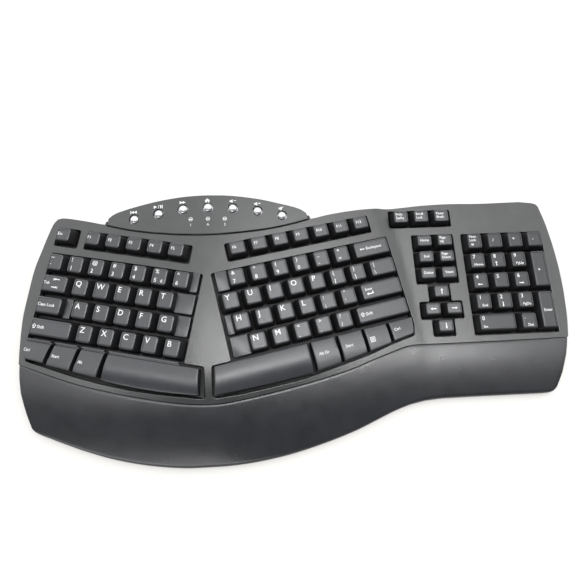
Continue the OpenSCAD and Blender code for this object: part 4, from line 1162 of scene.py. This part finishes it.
def underBlocks(key, rear):
    size = lowBlocks
    start, end = key["x"]
    middle = (start + end) / 2
    deepY = (lowShape["rear"] + sum(key["front"]) / 2) / 2
    blocks = [block(size["plungerLow"], size["plungerTop"], (size["plunger"], size["plunger"]),
                    middle=(middle, deepY))]
    if "space" in key["body"]:
        for side in (-1, 1):
            lugMiddle = (middle + side * size["lugX"], size["lugY"])
            blocks.append(block(size["lugLow"], size["lugTop"], size["lug"], middle=lugMiddle))
    if key["plane"] == "left":
        lipStart, lipEnd = start + size["lipEnd"], key.get("lipRight", end - size["lipEnd"])
        lipX, width = (lipStart + lipEnd) / 2, lipEnd - lipStart
        lipRear, lipFront, lipLow = size["lipRear"], size["lipFront"], size["lipLow"]
        blocks.append(block(lipLow, size["lipTop"], (width, lipRear - lipFront),
                            middle=(lipX, (lipRear + lipFront) / 2)))
        blocks.append(block(lipLow - size["ledgeLow"], lipLow + size["ledgeTop"],
                            (width, lipRear - rear + size["ledge"]),
                            middle=(lipX, (lipRear + rear) / 2 - size["ledge"] / 2)))
    return blocks


def lowCap(key):
    size = lowShape
    start, end = key["x"]
    leanLeft, leanRight = key.get("lean", (0, 0))
    columns = size["barColumns"] if "space" in key["body"] else size["columns"]
    deselectAll()
    bpy.ops.mesh.primitive_grid_add(x_subdivisions=columns, y_subdivisions=size["rows"], size=2)
    obj = bpy.context.active_object
    flat = getCoords(obj)
    u, v = (flat[:, 0] + 1) / 2, (1 - flat[:, 1]) / 2
    left = start + size["inset"] + leanLeft * v
    right = end - size["inset"] + leanRight * v
    x = left + (right - left) * u
    frontLeft, frontRight = key["front"]
    front = frontLeft + (frontRight - frontLeft) * u + key.get("bulge", 0) * 4 * u * (1 - u)
    rear = size["rearLeft"] if key["plane"] == "left" else size["rear"]
    y = rear + (front - rear) * v
    setCoords(obj, np.stack([x, y, rollHeight(key, y)], axis=1) * mm)
    startEdit(obj)
    wallDown(obj, size["skirt"])

    def isSteep(edge):
        return riseOf(edge) > size["steep"] * mm

    def bends(edge, angle):
        return len(edge.link_faces) == 2 and edge.calc_face_angle(0) > angle

    # soft corners and rims
    bevelEdges(obj, lambda edge: isSteep(edge) and bends(edge, size["cornerBend"]), size["corner"], steps=3)
    bevelEdges(obj, lambda edge: not isSteep(edge) and bends(edge, size["edgeBend"]), size["edge"], steps=3)
    stopEdit(outwards=True)
    thicken(obj, size["wall"])
    obj = joined("lowCap", [obj] + underBlocks(key, rear))
    smooth(obj, size["smooth"])
    # dark flanks of the bottom row caps are partly painted shade as well
    colourFaces(obj, lambda face: face.normal.z > facing["lowTop"] and face.center.z > size["topAbove"] * mm)
    return obj


menuSign = {"outer": 2.2, "inner": 1.7, "line": (1.1, 0.24), "lines": (0.9, 0, -0.9)}


def menuPieces(x, y):
    # a frame with three lines in it
    outer, inner, (lineX, lineY) = menuSign["outer"], menuSign["inner"], menuSign["line"]
    parts = [shapePiece(boxLoop(-outer, outer, -outer, outer), x, y)]
    cutWith(parts[0], slab("signCut", boxLoop(x - inner, x + inner, y - inner, y + inner), 1, -1))
    for lift in menuSign["lines"]:
        parts.append(shapePiece(boxLoop(-lineX, lineX, -lineY, lineY), x, y + lift))
    return parts


for key in lowKeys:
    place = planeMatrix(key["plane"])
    cap = lowCap(key)
    cap.data.transform(place)
    marks = []
    if key.get("label") == "menu":
        marks = menuPieces(*key["mark"])
    elif "label" in key:
        marks = [textPiece(key["label"], legend["low"], *key["mark"])]
    for mark in marks:
        coords = getCoords(mark)
        coords[:, 2] += (rollHeight(key, coords[:, 1] * 1000) + lowShape["mark"]) * mm
        setCoords(mark, coords)
        mark.data.transform(place)
    finishKeys(key["body"], [cap], marks)
print("bottom row done")


# silver media buttons: a domed cap on a short neck, with a flange under the panel
buttons = {"radius": 3.7, "ball": 4.4, "rise": 1.6, "stem": 1.85, "stemLow": -7.3, "domeStart": 3.6,
           "domeRings": 7, "sides": 40, "smooth": 40,
           "below": [(1.85, -5.9), (4.8, -5.9), (4.8, -4.9), (3.7, -4.9), (3.7, -2.1)],
           "names": ["previous_button", "play_button", "next_button", "home_button", "volume_down_button",
                     "volume_up_button", "mute_button"]}


def buttonModel():
    size = buttons
    deselectAll()
    bpy.ops.mesh.primitive_circle_add(vertices=size["sides"], radius=size["stem"] * mm, fill_type="NGON",
                                      location=(0, 0, size["stemLow"] * mm))
    obj = bpy.context.active_object
    bpy.ops.object.transform_apply(location=True)
    startEdit(obj, "FACE")
    bpy.ops.mesh.select_all(action="SELECT")
    # outwards and up, ring by ring: stem, flange, neck, dome
    rings = list(size["below"])
    for k in range(size["domeRings"]):
        quarter = k / size["domeRings"] * math.pi / 2
        reach = size["radius"] * math.cos(quarter) if k else size["domeStart"]
        rings.append((reach, math.sqrt(size["ball"] ** 2 - reach ** 2) - size["ball"]))
    radius, height = size["stem"], size["stemLow"]
    for nextRadius, nextHeight in rings:
        bpy.ops.mesh.extrude_region_move(TRANSFORM_OT_translate={"value": (0, 0, (nextHeight - height) * mm)})
        scale = nextRadius / radius
        bpy.ops.transform.resize(value=(scale, scale, 1), center_override=(0, 0, nextHeight * mm))
        radius, height = nextRadius, nextHeight
    stopEdit(outwards=True)
    smooth(obj, size["smooth"])
    return obj


def buttonTop(x, y):
    flat = min(planeHeight(name, x, y) for name in ("left", "right", "crown"))
    return flat + mediaPanel["rise"] + buttons["rise"]


buttonShape = buttonModel()
for name, x, y in zip(buttons["names"], mediaPanel["buttonX"], mediaPanel["buttonY"]):
    knob = placedCopy(buttonShape, Matrix.Translation((x * mm, y * mm, buttonTop(x, y) * mm)))
    knob.name = camelName(name)
    knob.data.name = knob.name
    settle(knob, "silverPaint", name, name)
bpy.data.objects.remove(buttonShape)
print("buttons done")


# signs on the media panel: for each button its signs with x, y and scale, and the locks by the lights
panelSigns = {"dx": -0.4, "dy": 6.4, "scale": 1.35, "lift": 0.06, "lightY": 88.4, "lightScale": 1.5,
              "lights": {"1": -94, "A": -79, "S": -64.4}, "ringY": 1.6, "letter": 1.7, "letterY": -2.7}
mediaSigns = [
    [("backward", -1.0), ("backward", 0.9), ("bar", -2.2)],
    [("forward", -1.9, 0, 1.1), ("slash",), ("bar", 1.6, 0, 1.1), ("bar", 2.6, 0, 1.1)],
    [("forward", -0.9), ("forward", 1.0)],
    [("house",)],
    [("speaker",), ("minus", 1.8, 0.4)],
    [("speaker",), ("plus", 1.8, 0.4)],
    [("speaker",), ("mute", 0.4)],
]


def onPanel(parts, x, y, scale):
    for part in parts:
        px, py, pz = getCoords(part).T * 1000
        px, py = px * scale + x, py * scale + y
        height = skinHeight(px, py) + mediaPanel["rise"] + pz + panelSigns["lift"]
        setCoords(part, np.stack([px, py, height], axis=1) * mm)
    return parts


signParts, lightParts = [], []
for group, x, y in zip(mediaSigns, mediaPanel["buttonX"], mediaPanel["buttonY"]):
    parts = [shapePiece(signs[sign], *place) for sign, *place in group]
    signParts += onPanel(parts, x + panelSigns["dx"], y + panelSigns["dy"], panelSigns["scale"])
settle(joined("mediaIcons", signParts), "inkWhite", "case")
for letter, x in panelSigns["lights"].items():
    parts = ringSign(0, panelSigns["ringY"])
    parts.append(textPiece(letter, panelSigns["letter"], 0, panelSigns["letterY"], "CENTER"))
    lightParts += onPanel(parts, x, panelSigns["lightY"], panelSigns["lightScale"])
settle(joined("lightIcons", lightParts), "iconGrey", "case", "indicator_lights")
print("signs done")


# CAD pieces that stay as they are
kept = {
    "bottom_cover": "darkPlastic", "key_frames": "frameBlack", "dome_sheets": "domeSilicone",
    "membranes": "printedFilm", "backplates": "plainSteel", "controller_board": "boardGreen",
    "media_board": "boardGreen", "case_screws": "plainSteel", "rubber_feet": "padRubber",
    "cable_gland": "padRubber", "left_tilt_foot": "darkPlastic", "right_tilt_foot": "darkPlastic",
    "left_space_stabilizer": "plainSteel", "right_space_stabilizer": "plainSteel",
}
for node, finish in kept.items():
    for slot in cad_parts[node].material_slots:
        slot.material = finishes[finish]


# floor, light and camera
floorLook = {"size": 8, "color": (0.31, 0.308, 0.302, 1), "rough": 0.9, "specular": 0.1,
             "glow": (1.0, 0.985, 0.96, 1), "lift": 0.33}


def buildFloor():
    look = floorLook
    deselectAll()
    bpy.ops.mesh.primitive_plane_add(size=look["size"], location=(0, 0, 0))
    floor = bpy.context.active_object
    floor.name = "floor"
    mat, tree, shader = newMaterial("floorWhite")
    shader.inputs["Base Color"].default_value = look["color"]
    shader.inputs["Roughness"].default_value = look["rough"]
    shader.inputs["Specular IOR Level"].default_value = look["specular"]
    # the camera sees it a little brighter than the object does
    glow = addNode(tree, "Emission", {"Color": look["glow"]})
    path = addNode(tree, "LightPath")
    lift = addNode(tree, "Math", {1: look["lift"]})
    lift.operation = "MULTIPLY"
    link(tree, path, "Is Camera Ray", lift, 0)
    link(tree, lift, "Value", glow, "Strength")
    both = addNode(tree, "AddShader")
    link(tree, shader, "BSDF", both, 0)
    link(tree, glow, "Emission", both, 1)
    link(tree, both, "Shader", tree.nodes["Material Output"], "Surface")
    floor.data.materials.append(mat)


# place and target in m, size of the panel in m, power in W, turn about its own axis
lights = {
    "overheadStrip": ((0.195, -0.005, 1.05), (0.195, -0.005, 0), (0.95, 0.11), 8.2, -3),
    "rearPanel": ((0.32, 0.32, 1.05), (0.32, 0.32, 0), (0.4, 0.26), 2.3, 0),
    "leftStrip": ((-0.64, -0.15, 1.05), (-0.64, -0.15, 0), (0.4, 0.16), 2.1, 0),
    "frontLow": ((-0.55, -1.2, 0.33), (-0.1, 0, 0.02), (1.3, 0.4), 7.4, 0),
    "leftFill": ((-1.0, 0.1, 0.7), (0, 0, 0.02), (0.7, 0.9), 0.7, 0),
    "rightFill": ((1.1, 0.1, 0.7), (0, 0, 0.02), (0.7, 0.9), 0.8, 0),
}


def areaLight(name, place, target, size, power, turn):
    light = bpy.data.lights.new(name, "AREA")
    light.shape = "RECTANGLE"
    light.size, light.size_y = size
    light.energy = power
    obj = bpy.data.objects.new(name, light)
    bpy.context.collection.objects.link(obj)
    aim = (Vector(target) - Vector(place)).to_track_quat("-Z", "Y").to_matrix().to_4x4()
    obj.matrix_world = Matrix.Translation(place) @ aim @ Matrix.Rotation(math.radians(turn), 4, "Z")


# the room is bright towards the rear, darker where the viewer stands
sky = {"From Min": -0.35, "From Max": 0.15, "To Min": 0.3, "To Max": 2.6}


def buildSky():
    world = bpy.data.worlds.new("studio")
    bpy.context.scene.world = world
    world.use_nodes = True
    tree = world.node_tree
    background = tree.nodes["Background"]
    background.inputs["Color"].default_value = (1, 1, 1, 1)
    coord = addNode(tree, "TexCoord")
    split = addNode(tree, "SeparateXYZ")
    strength = addNode(tree, "MapRange", sky)
    link(tree, coord, "Generated", split, "Vector")
    link(tree, split, "Y", strength, "Value")
    link(tree, strength, "Result", background, "Strength")


buildFloor()
for name, values in lights.items():
    areaLight(name, *values)
buildSky()

cameraView = {"lens": 28.84, "sensor": 36, "near": 0.01, "place": (-0.02662, -0.085497, 0.416914),
              "right": (0.99833, -0.05008, 0.02867), "up": (0.04012, 0.95952, 0.27878),
              "back": (-0.04147, -0.27716, 0.95993)}
camera = bpy.data.cameras.new("camera")
camera.lens = cameraView["lens"]
camera.sensor_width = cameraView["sensor"]
camera.clip_start = cameraView["near"]
cameraObject = bpy.data.objects.new("camera", camera)
bpy.context.collection.objects.link(cameraObject)
cameraTurn = Matrix([cameraView[way] for way in ("right", "up", "back")]).transposed()
cameraObject.matrix_world = Matrix.Translation(cameraView["place"]) @ cameraTurn.to_4x4()
bpy.context.scene.camera = cameraObject
bpy.context.scene.view_settings.view_transform = "Standard"
print("stage done")
